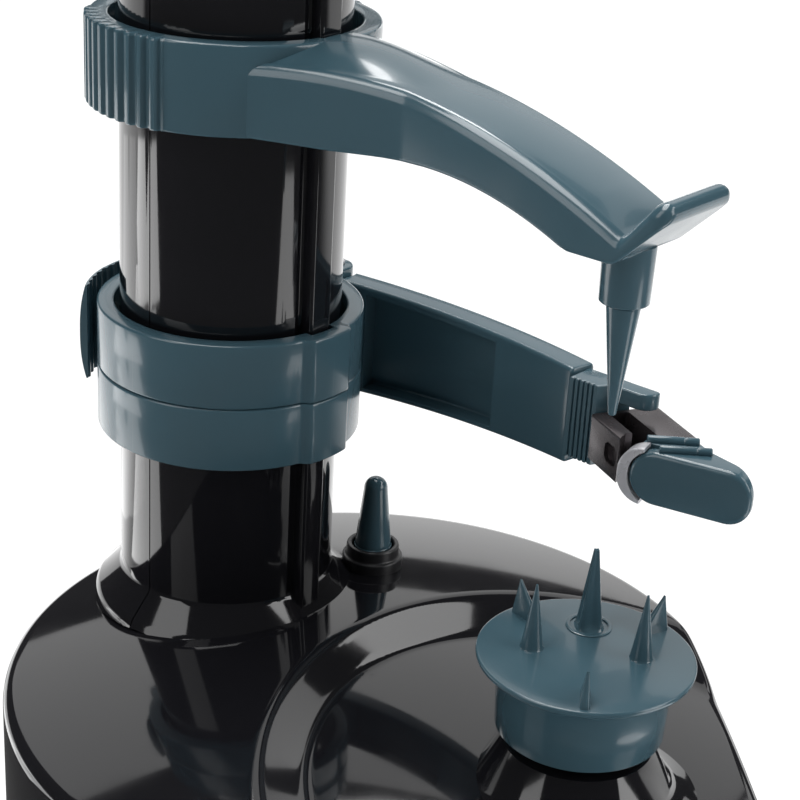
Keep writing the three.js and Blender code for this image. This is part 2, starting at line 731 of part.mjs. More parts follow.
// The phase of a follower whose teeth fall between those of its driver.
function meshPhase(driver, follower, driverTeeth, followerTeeth, driverPhase) {
  const line = bearing(driver, follower);
  return line + Math.PI + (line - driverPhase) * driverTeeth / followerTeeth + Math.PI / followerTeeth;
}

const layer = (index) => [LAYER_START + index * LAYER_STEP, LAYER_START + index * LAYER_STEP + GEAR_FACE];
const spindle = { x: 0, y: SPINDLE_Y };
const screw = { x: 0, y: COLUMN_Y };
const layshaft = { x: LAYSHAFT_X, y: LAYSHAFT_Y };
const stepShaft = { x: STEP_GEAR_X, y: STEP_GEAR_Y };
const motor = { x: MOTOR_X, y: MOTOR_Y };
const teeth = {
  spindle: 24, frontIdler: 16, layFront: 20, screw: 20, rearIdler: 14, layRear: 18,
  layDriven: 18, stepSmall: 8, stepBig: 28, pinion: 8,
};
const frontModule = 2 * distance(spindle,
  layshaft) / (teeth.spindle + 2 * teeth.frontIdler + teeth.layFront);
const rearModule = 2 * distance(screw, layshaft) / (teeth.screw + 2 * teeth.rearIdler + teeth.layRear);
const stepModule = 2 * distance(stepShaft, layshaft) / (teeth.stepSmall + teeth.layDriven);
const motorModule = 2 * distance(stepShaft, motor) / (teeth.stepBig + teeth.pinion);

function between(from, to, reach) {
  const angle = bearing(from, to);
  return { x: from.x + reach * Math.cos(angle), y: from.y + reach * Math.sin(angle) };
}

const frontIdler = between(spindle, layshaft, frontModule * (teeth.spindle + teeth.frontIdler) * HALF);
const rearIdler = between(screw, layshaft, rearModule * (teeth.screw + teeth.rearIdler) * HALF);
const shaftBore = AXLE_RADIUS + FIT_GAP;

function gearTrain() {
  const spindlePhase = 0;
  const idlerPhase = meshPhase(spindle, frontIdler, teeth.spindle, teeth.frontIdler, spindlePhase);
  const layPhase = meshPhase(frontIdler, layshaft, teeth.frontIdler, teeth.layFront, idlerPhase);
  const rearPhase = meshPhase(layshaft, rearIdler, teeth.layRear, teeth.rearIdler, layPhase);
  const screwPhase = meshPhase(rearIdler, screw, teeth.rearIdler, teeth.screw, rearPhase);
  const stepPhase = meshPhase(layshaft, stepShaft, teeth.layDriven, teeth.stepSmall, layPhase);
  const pinionPhase = meshPhase(stepShaft, motor, teeth.stepBig, teeth.pinion, stepPhase);
  const [first, second, third] = [layer(0), layer(1), layer(2)];
  const at = (place) => [place.x, place.y, 0];
  const wheel = (count, module, phase, bore, [z1, z2]) => gearWheel(count, module, phase, bore, z1, z2);
  piece('spindle_gear', wheel(teeth.spindle, frontModule, spindlePhase, SPINDLE_RADIUS + FIT_GAP, first),
    'nylon', at(spindle));
  piece('front_idler_gear', wheel(teeth.frontIdler, frontModule, idlerPhase, shaftBore, first),
    'nylon', at(frontIdler));
  piece('layshaft_gear', joined(
    wheel(teeth.layFront, frontModule, layPhase, shaftBore, [first[0], second[0]]),
    wheel(teeth.layRear, rearModule, layPhase, shaftBore, [second[0], third[0]]),
    wheel(teeth.layDriven, stepModule, layPhase, shaftBore, third)), 'nylon', at(layshaft));
  piece('rear_idler_gear', wheel(teeth.rearIdler, rearModule, rearPhase, shaftBore, second),
    'nylon', at(rearIdler));
  piece('screw_gear', wheel(teeth.screw, rearModule, screwPhase, JOURNAL_RADIUS + FIT_GAP, second),
    'nylon', at(screw));
  const bigLayer = [TOP_LAYER, TOP_LAYER + GEAR_FACE];
  piece('step_gear', joined(
    wheel(teeth.stepSmall, stepModule, stepPhase, shaftBore, [third[0], TOP_LAYER]),
    wheel(teeth.stepBig, motorModule, stepPhase, shaftBore, bigLayer)), 'nylon', at(stepShaft));
  const pinionRim = prism(gearBlank(teeth.pinion, motorModule, pinionPhase), ...bigLayer);
  const motorTop = plateTop + MOTOR_HEIGHT;
  const shaft = bar(MOTOR_SHAFT_RADIUS, MOTOR_SHAFT_RADIUS, plateTop + FIT_GAP * 2,
    GEAR_PLATE_BOTTOM + GEAR_PLATE_THICK, 0, 0, 12);
  piece('motor_pinion', joined(pinionRim, shaft), 'brass', at(motor));
  const shell = bar(MOTOR_RADIUS, MOTOR_RADIUS, plateTop, motorTop, 0, 0, 28);
  const neck = MOTOR_SHAFT_RADIUS + FIT_GAP;
  piece('motor', cut(shell, bar(neck, neck, plateTop + FIT_GAP, motorTop + OVERRUN, 0, 0, 12)),
    'steel', at(motor));
  const layTop = third[1] + FIT_GAP + AXLE_RADIUS;
  const plateLevel = GEAR_PLATE_BOTTOM + GEAR_PLATE_THICK;
  [['front_idler_axle', frontIdler, plateLevel], ['rear_idler_axle', rearIdler, plateLevel],
    ['layshaft_axle', layshaft, layTop], ['step_gear_axle', stepShaft, plateLevel]]
    .forEach(([name, place, top]) => {
      piece(name, bar(AXLE_RADIUS, AXLE_RADIUS, plateTop, top, 0, 0, 14), 'steel', at(place));
    });
}

function gearPlate() {
  const top = GEAR_PLATE_BOTTOM + GEAR_PLATE_THICK;
  const outline = GEAR_PLATE_SHARES.map(([x, y]) => [x * BASE_RADIUS, y * BASE_RADIUS]);
  const legs = PLATE_LEG_SHARES.map(([x, y]) => bar(PLATE_LEG_RADIUS, PLATE_LEG_RADIUS, plateTop, top,
    x * BASE_RADIUS, y * BASE_RADIUS, 12));
  const hole = (place, radius) => bar(radius, radius, GEAR_PLATE_BOTTOM - OVERRUN, top + OVERRUN,
    place.x, place.y, 16);
  const bosses = SCREW_ANGLES.map((angle) => {
    const [x, y] = polar(SCREW_CIRCLE, angle);
    return hole({ x, y }, SCREW_BOSS_RADIUS + FIT_GAP);
  });
  return cut(joined(prism(outline, GEAR_PLATE_BOTTOM, top), ...legs), ...bosses,
    hole(spindle, SPINDLE_RADIUS + RUNNING_GAP), hole(screw, JOURNAL_RADIUS + RUNNING_GAP),
    hole(motor, MOTOR_SHAFT_RADIUS + RUNNING_GAP), hole(frontIdler, shaftBore), hole(rearIdler, shaftBore),
    hole(stepShaft, shaftBore));
}

// Turntable, spindle and bush

function turntable() {
  const flange = TABLE_TOP - FLANGE_THICK;
  const roof = TABLE_TOP - CUP_ROOF;
  const soft = FLANGE_THICK * SOFT_EDGE_SHARE;
  const body = turned([[0, roof], [CUP_TOP_RADIUS - CUP_WALL, roof], [CUP_FOOT_RADIUS - CUP_WALL, CUP_FOOT],
    [CUP_FOOT_RADIUS, CUP_FOOT], [CUP_TOP_RADIUS, flange], [TABLE_RADIUS - FLANGE_BEVEL, flange],
    [TABLE_RADIUS, TABLE_TOP - soft], [TABLE_RADIUS - soft, TABLE_TOP],
    [0, TABLE_TOP]], 0, SPINDLE_Y, 44);
  const boss = bar(TABLE_BOSS_RADIUS, TABLE_BOSS_RADIUS, CUP_FOOT + FIT_GAP, roof + FIT_GAP, 0,
    SPINDLE_Y, 20);
  const root = TABLE_TOP - FLANGE_THICK * HALF;
  const spikes = SPIKE_ANGLES.map((turn) => {
    const [x, y] = polar(SPIKE_CIRCLE, TABLE_TURN + turn);
    return bar(SPIKE_RADIUS, SPIKE_RADIUS * SPIKE_TIP_SHARE, root, TABLE_TOP + SPIKE_HEIGHT, x,
      SPINDLE_Y + y, 12);
  });
  const [tallX, tallY] = polar(SPIKE_CIRCLE, TABLE_TURN);
  const tallTop = TABLE_TOP + TALL_SPIKE_HEIGHT;
  const ridge = [[-TALL_SPIKE_RADIUS, root], [TALL_SPIKE_RADIUS, root], [0, tallTop]];
  const ridges = RIDGE_ANGLES.map((turn) => sidePrism(ridge, -FIN_THICK * HALF, FIN_THICK * HALF)
    .rotateZ((turn + TABLE_TURN) * DEGREE).translate(tallX, SPINDLE_Y + tallY, 0));
  const fin = [[FIN_INNER, root], [FIN_OUTER, root], [FIN_PEAK, TABLE_TOP + FIN_HEIGHT]];
  const fins = FIN_ANGLES.map((turn) => sidePrism(fin, -FIN_THICK * HALF, FIN_THICK * HALF)
    .rotateZ((turn + TABLE_TURN - 90) * DEGREE).translate(0, SPINDLE_Y, 0));
  const socket = SPINDLE_RADIUS + FIT_GAP;
  const bore = bar(socket, socket, CUP_FOOT - OVERRUN, SPINDLE_TOP + FIT_GAP, 0, SPINDLE_Y, 20);
  return cut(joined(body, boss, ...spikes, ...ridges, ...fins), bore);
}

function spindleBush() {
  return tube(bushRadius, SPINDLE_RADIUS + FIT_GAP, BUSH_BOTTOM, HUB_TOP, 0, SPINDLE_Y, 24);
}

// Column

const columnInner = COLUMN_RADIUS - COLUMN_WALL;

function columnShell() {
  const wall = tube(COLUMN_RADIUS, columnInner, 0, COLUMN_TOP, 0, COLUMN_Y, 44);
  const skirt = turned([[columnInner, 0], [SKIRT_RADIUS, 0], [SKIRT_RADIUS, SKIRT_EDGE],
    [COLUMN_RADIUS, SKIRT_TOP], [columnInner, SKIRT_TOP], [columnInner, 0]], 0, COLUMN_Y, 44);
  const rail = span(-RAIL_WIDTH * HALF, RAIL_WIDTH * HALF, COLUMN_Y - RAIL_REACH, COLUMN_Y - columnInner
    - COLUMN_WALL * HALF, 0, COLUMN_TOP);
  const railed = common(joined(wall, skirt, rail), bar(SKIRT_RADIUS, SKIRT_RADIUS, 0, COLUMN_TOP,
    0, COLUMN_Y, 44));
  const beside = COLLAR_RADIUS + FIT_GAP;
  return cut(railed, underDome(FIT_GAP), bar(beside, beside, 0, COLLAR_TOP, BUTTON_X, BUTTON_Y, 28));
}

function railGroove(side) {
  const from = side * RAIL_WIDTH * HALF;
  const to = from + side * GROOVE_WIDTH;
  return span(Math.min(from, to), Math.max(from, to), COLUMN_Y - RAIL_REACH - OVERRUN,
    COLUMN_Y - COLUMN_RADIUS + GROOVE_DEPTH, SKIRT_TOP, COLUMN_TOP + OVERRUN);
}

function columnHalves() {
  const shell = columnShell();
  const reach = SKIRT_RADIUS + OVERRUN;
  const front = span(-reach, reach, COLUMN_Y - reach, COLUMN_Y - SEAM_GAP * HALF, -OVERRUN,
    COLUMN_TOP + OVERRUN);
  const rear = span(-reach, reach, COLUMN_Y + SEAM_GAP * HALF, COLUMN_Y + reach, -OVERRUN,
    COLUMN_TOP + OVERRUN);
  const slot = span(-SLOT_WIDTH * HALF, SLOT_WIDTH * HALF, COLUMN_Y, COLUMN_Y + reach, SLOT_BOTTOM,
    SLOT_TOP);
  piece('column_front', cut(common(shell, front), railGroove(1), railGroove(-1)), 'black');
  piece('column_rear', cut(common(shell, rear), slot), 'black');
}

function columnCap() {
  const bottom = COLUMN_TOP + FIT_GAP;
  const rim = bottom + CAP_THICK;
  const spigot = columnInner - FIT_GAP;
  const bushOuter = JOURNAL_RADIUS + FIT_GAP + BUSH_WALL + FIT_GAP;
  const steps = 4;
  const roof = Array.from({ length: steps }, (_, i) => {
    const angle = (i + 1) / steps * 90 * DEGREE;
    return [i === steps - 1 ? 0 : CAP_RADIUS * Math.cos(angle), rim + CAP_DOME * Math.sin(angle)];
  });
  const foot = bottom - CAP_SPIGOT;
  return turned([[0, bottom], [bushOuter, bottom], [bushOuter, foot], [spigot, foot], [spigot, bottom],
    [CAP_RADIUS, bottom], [CAP_RADIUS, rim], ...roof], 0, COLUMN_Y, 40);
}

function screwBush() {
  const inner = JOURNAL_RADIUS + FIT_GAP;
  return tube(inner + BUSH_WALL, inner, COLUMN_TOP - CAP_SPIGOT, COLUMN_TOP, 0, COLUMN_Y, 20);
}

// The screw's surface is a ramp wound round the axis: its radius depends on height and angle.
function leadScrew() {
  const sides = 8;
  const rowsPerTurn = 3;
  const rows = SCREW_TURNS * rowsPerTurn;
  const step = SCREW_PITCH / rowsPerTurn;
  const place = [];
  const order = [];
  for (let i = 0; i <= rows; i += 1) {
    for (let j = 0; j < sides; j += 1) {
      const angle = j * FULL_TURN / sides;
      const along = (i / rowsPerTurn - j / sides) * FULL_TURN;
      const swell = (1 + Math.cos(along)) * HALF;
      const radius = SCREW_ROOT_RADIUS + (SCREW_RADIUS - SCREW_ROOT_RADIUS) * swell;
      place.push(radius * Math.cos(angle), radius * Math.sin(angle), SCREW_BOTTOM + i * step);
    }
  }
  for (let i = 0; i < rows; i += 1) {
    for (let j = 0; j < sides; j += 1) {
      const [a, b] = [i * sides + j, i * sides + (j + 1) % sides];
      order.push(a, b, a + sides, b, b + sides, a + sides);
    }
  }
  const last = rows * sides;
  for (let j = 1; j < sides - 1; j += 1) {
    order.push(0, j + 1, j);
    order.push(last, last + j, last + j + 1);
  }
  const journal = bar(JOURNAL_RADIUS, JOURNAL_RADIUS, plateTop, JOURNAL_TOP, 0, 0, 14);
  piece('lead_screw', joined(geometryOf(place, order), journal), 'steel', [0, COLUMN_Y, 0]);
}

// Top arm

function armSide() {
  const top = (y) => ARM_CREST - (y - ARM_CREST_Y) ** 2 / (2 * ARM_TOP_CURVE);
  const belly = (y) => ARM_BELLY - (y - ARM_BELLY_Y) ** 2 / (2 * ARM_BELLY_CURVE);
  const start = COLUMN_Y - ARM_RING_BORE * ARM_ROOT_SHARE;
  const steps = 12;
  const share = (from, to, i) => from + (to - from) * i / steps;
  const crest = [];
  const under = [];
  for (let i = 0; i <= steps; i += 1) {
    const y = share(start, ARM_NOTCH_Y, i);
    crest.push([y, top(Math.min(y, ARM_CREST_Y))]);
    const low = share(ARM_CHIN_Y, start, i);
    under.push([low, Math.max(belly(low), low > ARM_BELLY_Y ? ARM_RING_BOTTOM : ARM_CHIN)]);
  }
  const notch = crest[crest.length - 1];
  const tip = [notch[0] - TAB_LENGTH, notch[1] + TAB_RISE];
  const slope = Math.atan2(TAB_RISE, TAB_LENGTH);
  const heel = [tip[0] - TAB_THICK * Math.sin(slope), tip[1] - TAB_THICK * Math.cos(slope) * HALF];
  const chin = [notch[0] + TAB_THICK * HALF, ARM_CHIN];
  return [...crest, tip, heel, chin, ...under];
}

// The arm from above: even in width, then widening to meet the ring.
function armPlan() {
  const half = ARM_WIDTH * HALF;
  const root = ARM_ROOT_WIDTH * HALF;
  const rootDepth = Math.sqrt(ARM_RING_RADIUS ** 2 - root ** 2);
  const length = COLUMN_Y - rootDepth - ARM_FLARE_Y;
  const sunk = (ARM_RING_RADIUS + ARM_RING_BORE) * HALF / ARM_RING_RADIUS;
  const steps = 5;
  const right = [[half, ARM_NOTCH_Y - TAB_LENGTH - OVERRUN]];
  for (let i = 0; i <= steps; i += 1) {
    const share = i / steps;
    right.push([half + (root - half) * share ** ARM_FLARE_BEND, ARM_FLARE_Y + length * share]);
  }
  right.push([root * sunk, COLUMN_Y - rootDepth * sunk]);
  return [...right, ...right.map(([x, y]) => [-x, y]).reverse()];
}

function armPocket() {
  const side = armSide();
  const steps = 13;
  const roof = side.slice(2, steps).map(([y, z]) => [y, z - ARM_SHELL]);
  const first = roof[0];
  const last = roof[roof.length - 1];
  const low = ARM_CHIN - OVERRUN;
  const outline = [...roof, [last[0], low], [first[0], low]];
  return sidePrism(outline, -ARM_WIDTH * HALF + ARM_SHELL, ARM_WIDTH * HALF - ARM_SHELL);
}

function gripRibs(middle) {
  const step = (GRIP_END - GRIP_START) / GRIP_RIBS;
  const from = middle < 90 ? 180 - GRIP_END : GRIP_START;
  return Array.from({ length: GRIP_RIBS }, (_, i) => {
    const start = from + (i + 1 - GRIP_RIB_SHARE) * step;
    return sector(GRIP_RADIUS - GRIP_RIB_DEPTH, GRIP_RADIUS + OVERRUN, start, start + step * GRIP_RIB_SHARE,
      ARM_RING_BOTTOM - OVERRUN, ARM_RING_TOP + OVERRUN, 1, 0, COLUMN_Y);
  });
}

function topArm() {
  const ring = tube(ARM_RING_RADIUS, ARM_RING_BORE, ARM_RING_BOTTOM, ARM_RING_TOP, 0, COLUMN_Y, 44);
  const wrap = ARM_RING_BORE + (ARM_RING_RADIUS - ARM_RING_BORE) * HALF;
  const grips = [GRIP_START, 180 - GRIP_END].map((from) => sector(wrap, GRIP_RADIUS, from,
    from + GRIP_END - GRIP_START, ARM_RING_BOTTOM, ARM_RING_TOP, 22, 0, COLUMN_Y));
  const beam = common(sidePrism(armSide(), -ARM_ROOT_WIDTH, ARM_ROOT_WIDTH),
    prism(armPlan(), ARM_CHIN - OVERRUN, ARM_RING_TOP + OVERRUN));
  const column = bar(ARM_RING_BORE, ARM_RING_BORE, ARM_CHIN, ARM_RING_TOP + OVERRUN, 0, COLUMN_Y, 44);
  const clear = RAIL_WIDTH * HALF + RUNNING_GAP;
  const keyway = span(-clear, clear, COLUMN_Y - RAIL_REACH - RUNNING_GAP, COLUMN_Y, ARM_CHIN - OVERRUN,
    ARM_RING_TOP + OVERRUN);
  const open = cut(beam, armPocket(), column);
  const post = bar(BOSS_RADIUS, BOSS_RADIUS, BOSS_BOTTOM, ARM_CHIN + TAB_RISE, 0, SPINDLE_Y, 28);
  const held = common(post, joined(beam, bar(BOSS_RADIUS, BOSS_RADIUS, BOSS_BOTTOM, ARM_CHIN + FIT_GAP,
    0, SPINDLE_Y, 28)));
  const bore = PIN_SHANK_RADIUS + FIT_GAP;
  const shankHole = bar(bore, bore, BOSS_BOTTOM - OVERRUN, PIN_SHANK_TOP + FIT_GAP, 0, SPINDLE_Y, 16);
  const pocket = CLIP_RADIUS + FIT_GAP;
  const clipRoom = bar(pocket, pocket, clipBottom - FIT_GAP, PIN_SHANK_TOP + FIT_GAP, 0, SPINDLE_Y, 20);
  const mouth = span(0, ARM_WIDTH, SPINDLE_Y - pocket, SPINDLE_Y + pocket, clipBottom - FIT_GAP,
    PIN_SHANK_TOP + FIT_GAP);
  const padRoom = span(-PAD_WIDTH * HALF - FIT_GAP, PAD_WIDTH * HALF + FIT_GAP, COLUMN_Y, COLUMN_Y
    + COLUMN_RADIUS + RUNNING_GAP + PAD_DEPTH + FIT_GAP, padBottom - FIT_GAP,
      padBottom + PAD_HEIGHT + FIT_GAP);
  const ribs = [...gripRibs(180), ...gripRibs(0)];
  return cut(joined(open, ring, ...grips, held), ...ribs, keyway, shankHole, clipRoom, mouth, padRoom);
}

const clipBottom = PIN_SHANK_TOP - 2 * PIN_GROOVE - 2 * FIT_GAP;
const padBottom = (ARM_RING_BOTTOM + ARM_RING_TOP - PAD_HEIGHT) * HALF;

function topPin() {
  const groove = PIN_SHANK_RADIUS * PIN_WAIST_SHARE;
  const low = clipBottom;
  const high = clipBottom + PIN_GROOVE + FIT_GAP;
  const shoulder = BOSS_BOTTOM - RUNNING_GAP;
  return turned([[0, PIN_TIP], [PIN_TIP_RADIUS, PIN_TIP + PIN_TIP_RADIUS * HALF],
    [PIN_RADIUS, shoulder], [PIN_SHANK_RADIUS, shoulder], [PIN_SHANK_RADIUS, low], [groove, low],
    [groove, high], [PIN_SHANK_RADIUS, high], [PIN_SHANK_RADIUS, PIN_SHANK_TOP], [0, PIN_SHANK_TOP]],
  0, SPINDLE_Y, 24);
}

function pinClip() {
  const inner = PIN_SHANK_RADIUS * PIN_WAIST_SHARE + FIT_GAP;
  const low = clipBottom + FIT_GAP * HALF;
  return cut(bar(CLIP_RADIUS, CLIP_RADIUS, low, low + PIN_GROOVE, 0, SPINDLE_Y, 20),
    bar(inner, inner, low - OVERRUN, low + OVERRUN, 0, SPINDLE_Y, 14),
    span(0, CLIP_RADIUS + OVERRUN, SPINDLE_Y - inner, SPINDLE_Y + inner, low - OVERRUN, low + OVERRUN));
}

function frictionPad() {
  const inner = COLUMN_RADIUS + RUNNING_GAP;
  const block1 = span(-PAD_WIDTH * HALF, PAD_WIDTH * HALF, COLUMN_Y, COLUMN_Y + inner + PAD_DEPTH,
    padBottom, padBottom + PAD_HEIGHT);
  return cut(block1, bar(inner, inner, padBottom - OVERRUN, padBottom + PAD_HEIGHT + OVERRUN, 0,
    COLUMN_Y, 48));
}

// Carriage

const leverPivot = { x: LEVER_PIVOT_X, y: COLUMN_Y + LEVER_PIVOT_Y };
const armPivot = { x: HINGE_X, y: COLUMN_Y };

// A lug at a pivot, with a web back to the ring.
function lug(pivot, radius, z1, z2) {
  const angle = Math.atan2(pivot.y - COLUMN_Y, pivot.x);
  const reach = Math.hypot(pivot.x, pivot.y - COLUMN_Y);
  const root = CARRIAGE_BORE + (CARRIAGE_RADIUS - CARRIAGE_BORE) * HALF;
  const web = span(root, reach, -radius, radius, z1, z2).rotateZ(angle).translate(0, COLUMN_Y, 0);
  return joined(web, bar(radius, radius, z1, z2, pivot.x, pivot.y, 20));
}

function carriageRing(z1, z2, leverLug, armLug) {
  const ring = tube(CARRIAGE_RADIUS, CARRIAGE_BORE, z1, z2, 0, COLUMN_Y, 44);
  const bump = span(-KEY_BUMP_WIDTH * HALF, KEY_BUMP_WIDTH * HALF, COLUMN_Y - KEY_BUMP_REACH,
    COLUMN_Y - CARRIAGE_BORE, z1, z2);
  const guide = span(-GUIDE_WIDTH * HALF, GUIDE_WIDTH * HALF, COLUMN_Y + CARRIAGE_BORE,
    COLUMN_Y + GUIDE_REACH, Math.max(z1, GUIDE_BOTTOM), Math.min(z2, GUIDE_TOP));
  const solid = joined(ring, bump, guide, lug(leverPivot, LUG_RADIUS, ...leverLug),
    lug(armPivot, LUG_RADIUS, ...armLug));
  const clear = RAIL_WIDTH * HALF + RUNNING_GAP;
  const keyway = span(-clear, clear, COLUMN_Y - RAIL_REACH - RUNNING_GAP, COLUMN_Y, z1 - OVERRUN,
    z2 + OVERRUN);
  const bore = bar(CARRIAGE_BORE, CARRIAGE_BORE, z1 - OVERRUN, z2 + OVERRUN, 0, COLUMN_Y, 44);
  const nutRoom = span(-NUT_WIDTH * HALF - FIT_GAP, NUT_WIDTH * HALF + FIT_GAP, COLUMN_Y,
    COLUMN_Y + GUIDE_REACH + OVERRUN, NUT_BOTTOM - FIT_GAP, NUT_TOP + FIT_GAP);
  const pinHole = HINGE_PIN_RADIUS + FIT_GAP;
  const holes = [leverPivot, armPivot].map((pivot) => bar(pinHole, pinHole, z1 - OVERRUN, z2 + OVERRUN,
    pivot.x, pivot.y, 14));
  return cut(solid, keyway, bore, nutRoom, ...holes);
}

const halfGap = FIT_GAP * HALF;
const armLugTop = [CARRIAGE_TOP - HINGE_LUG, CARRIAGE_TOP];
const armLugLow = [CARRIAGE_BOTTOM, CARRIAGE_BOTTOM + HINGE_LUG];
const leverLugTop = [GUIDE_TOP + FIT_GAP, CARRIAGE_TOP];
const leverLugLow = [CARRIAGE_BOTTOM, GUIDE_BOTTOM - FIT_GAP];

function hingePin(name, pivot) {
  const top = CARRIAGE_TOP + FIT_GAP;
  const shape = turned([[0, CARRIAGE_BOTTOM], [HINGE_PIN_RADIUS, CARRIAGE_BOTTOM], [HINGE_PIN_RADIUS, top],
    [HINGE_PIN_HEAD, top], [HINGE_PIN_HEAD, top + FIT_GAP * 2], [0, top + FIT_GAP * 2]], 0, 0, 14);
  piece(name, shape, 'steel', [pivot.x, pivot.y, 0]);
}

function halfNut() {
  const y0 = COLUMN_Y;
  const middle = (NUT_BOTTOM + NUT_TOP) * HALF;
  const body = span(-NUT_WIDTH * HALF, NUT_WIDTH * HALF, y0 + SCREW_ROOT_RADIUS, y0 + NUT_BODY_REACH,
    NUT_BOTTOM, NUT_TOP);
  const headStart = y0 + NUT_BODY_REACH + NUT_PLAY + FORK_THICK + RUNNING_GAP;
  const neck = span(-NUT_NECK_WIDTH * HALF, NUT_NECK_WIDTH * HALF, y0 + NUT_BODY_REACH - FIT_GAP,
    headStart + FIT_GAP, middle - NUT_NECK_HEIGHT * HALF, middle + NUT_NECK_HEIGHT * HALF);
  const head = span(-NUT_NECK_WIDTH * HALF, NUT_NECK_WIDTH * HALF, headStart, headStart + NUT_HEAD_THICK,
    middle - NUT_HEAD_HEIGHT * HALF, middle + NUT_HEAD_HEIGHT * HALF);
  const clear = SCREW_RADIUS + RUNNING_GAP;
  return cut(joined(body, neck, head), bar(clear, clear, NUT_BOTTOM - OVERRUN, NUT_TOP + OVERRUN, 0,
    y0, 24));
}

function releaseLever() {
  const middle = (NUT_BOTTOM + NUT_TOP) * HALF;
  const low = GUIDE_BOTTOM;
  const high = GUIDE_TOP;
  const y0 = COLUMN_Y;
  const tail = sector(LEVER_INNER, LEVER_OUTER, LEVER_START, LEVER_END, LEVER_BOTTOM, LEVER_TOP, 6, 0, y0);
  const crownLow = high + RUNNING_GAP;
  const crown = sector(LEVER_INNER, LEVER_OUTER, LEVER_CROWN_START, LEVER_START + 1, crownLow, LEVER_TOP, 4,
    0, y0);
  const step = (LEVER_END - LEVER_CROWN_START) / LEVER_RIBS;
  const ribs = Array.from({ length: LEVER_RIBS }, (_, i) => {
    const from = LEVER_CROWN_START + (i + 1 - 2 * RIB_SHARE) * step;
    return sector(LEVER_INNER - LEVER_RIB_DEPTH, LEVER_INNER + FIT_GAP, from, from + step * RIB_SHARE,
      from > LEVER_START ? LEVER_BOTTOM : crownLow, LEVER_TOP, 1, 0, y0);
  });
  const side = -GUIDE_WIDTH * HALF - RUNNING_GAP;
  const forkY = y0 + NUT_BODY_REACH + NUT_PLAY;
  const back = forkY + FORK_THICK;
  const neck = prism([[side, y0 + NECK_FOOT], [side, back], [side - RUNNING_GAP, back],
    [side - NECK_WIDTH * (1 - RIB_SHARE), y0 + LEVER_OUTER], [side - NECK_WIDTH, y0 + NECK_FOOT]], low, high);
  const barrel = bar(LEVER_BARREL_RADIUS, LEVER_BARREL_RADIUS, low, high, leverPivot.x, leverPivot.y, 20);
  const fork = span(side - RUNNING_GAP * HALF, leverPivot.x, forkY, back, low, high);
  const gap = NUT_NECK_HEIGHT * HALF + RUNNING_GAP;
  const wide = NUT_NECK_WIDTH * HALF + 2 * RUNNING_GAP;
  const mouth = span(-wide, wide, forkY - OVERRUN, back + OVERRUN, middle - gap, high + OVERRUN);
  const hole = HINGE_PIN_RADIUS + FIT_GAP;
  const pinHole = bar(hole, hole, low - OVERRUN, high + OVERRUN, leverPivot.x, leverPivot.y, 14);
  return cut(joined(tail, crown, ...ribs, neck, barrel, fork), mouth, pinHole);
}

// Blade arm

const armCurveX = BLADE_ARM_BULGE - BLADE_ARM_CURVE;
const armTurnAt = (y) => Math.asin((y - BLADE_ARM_BULGE_Y) / BLADE_ARM_CURVE) / DEGREE;
const armInner = BLADE_ARM_CURVE - BLADE_ARM_THICK * HALF;
const armOuter = BLADE_ARM_CURVE + BLADE_ARM_THICK * HALF;

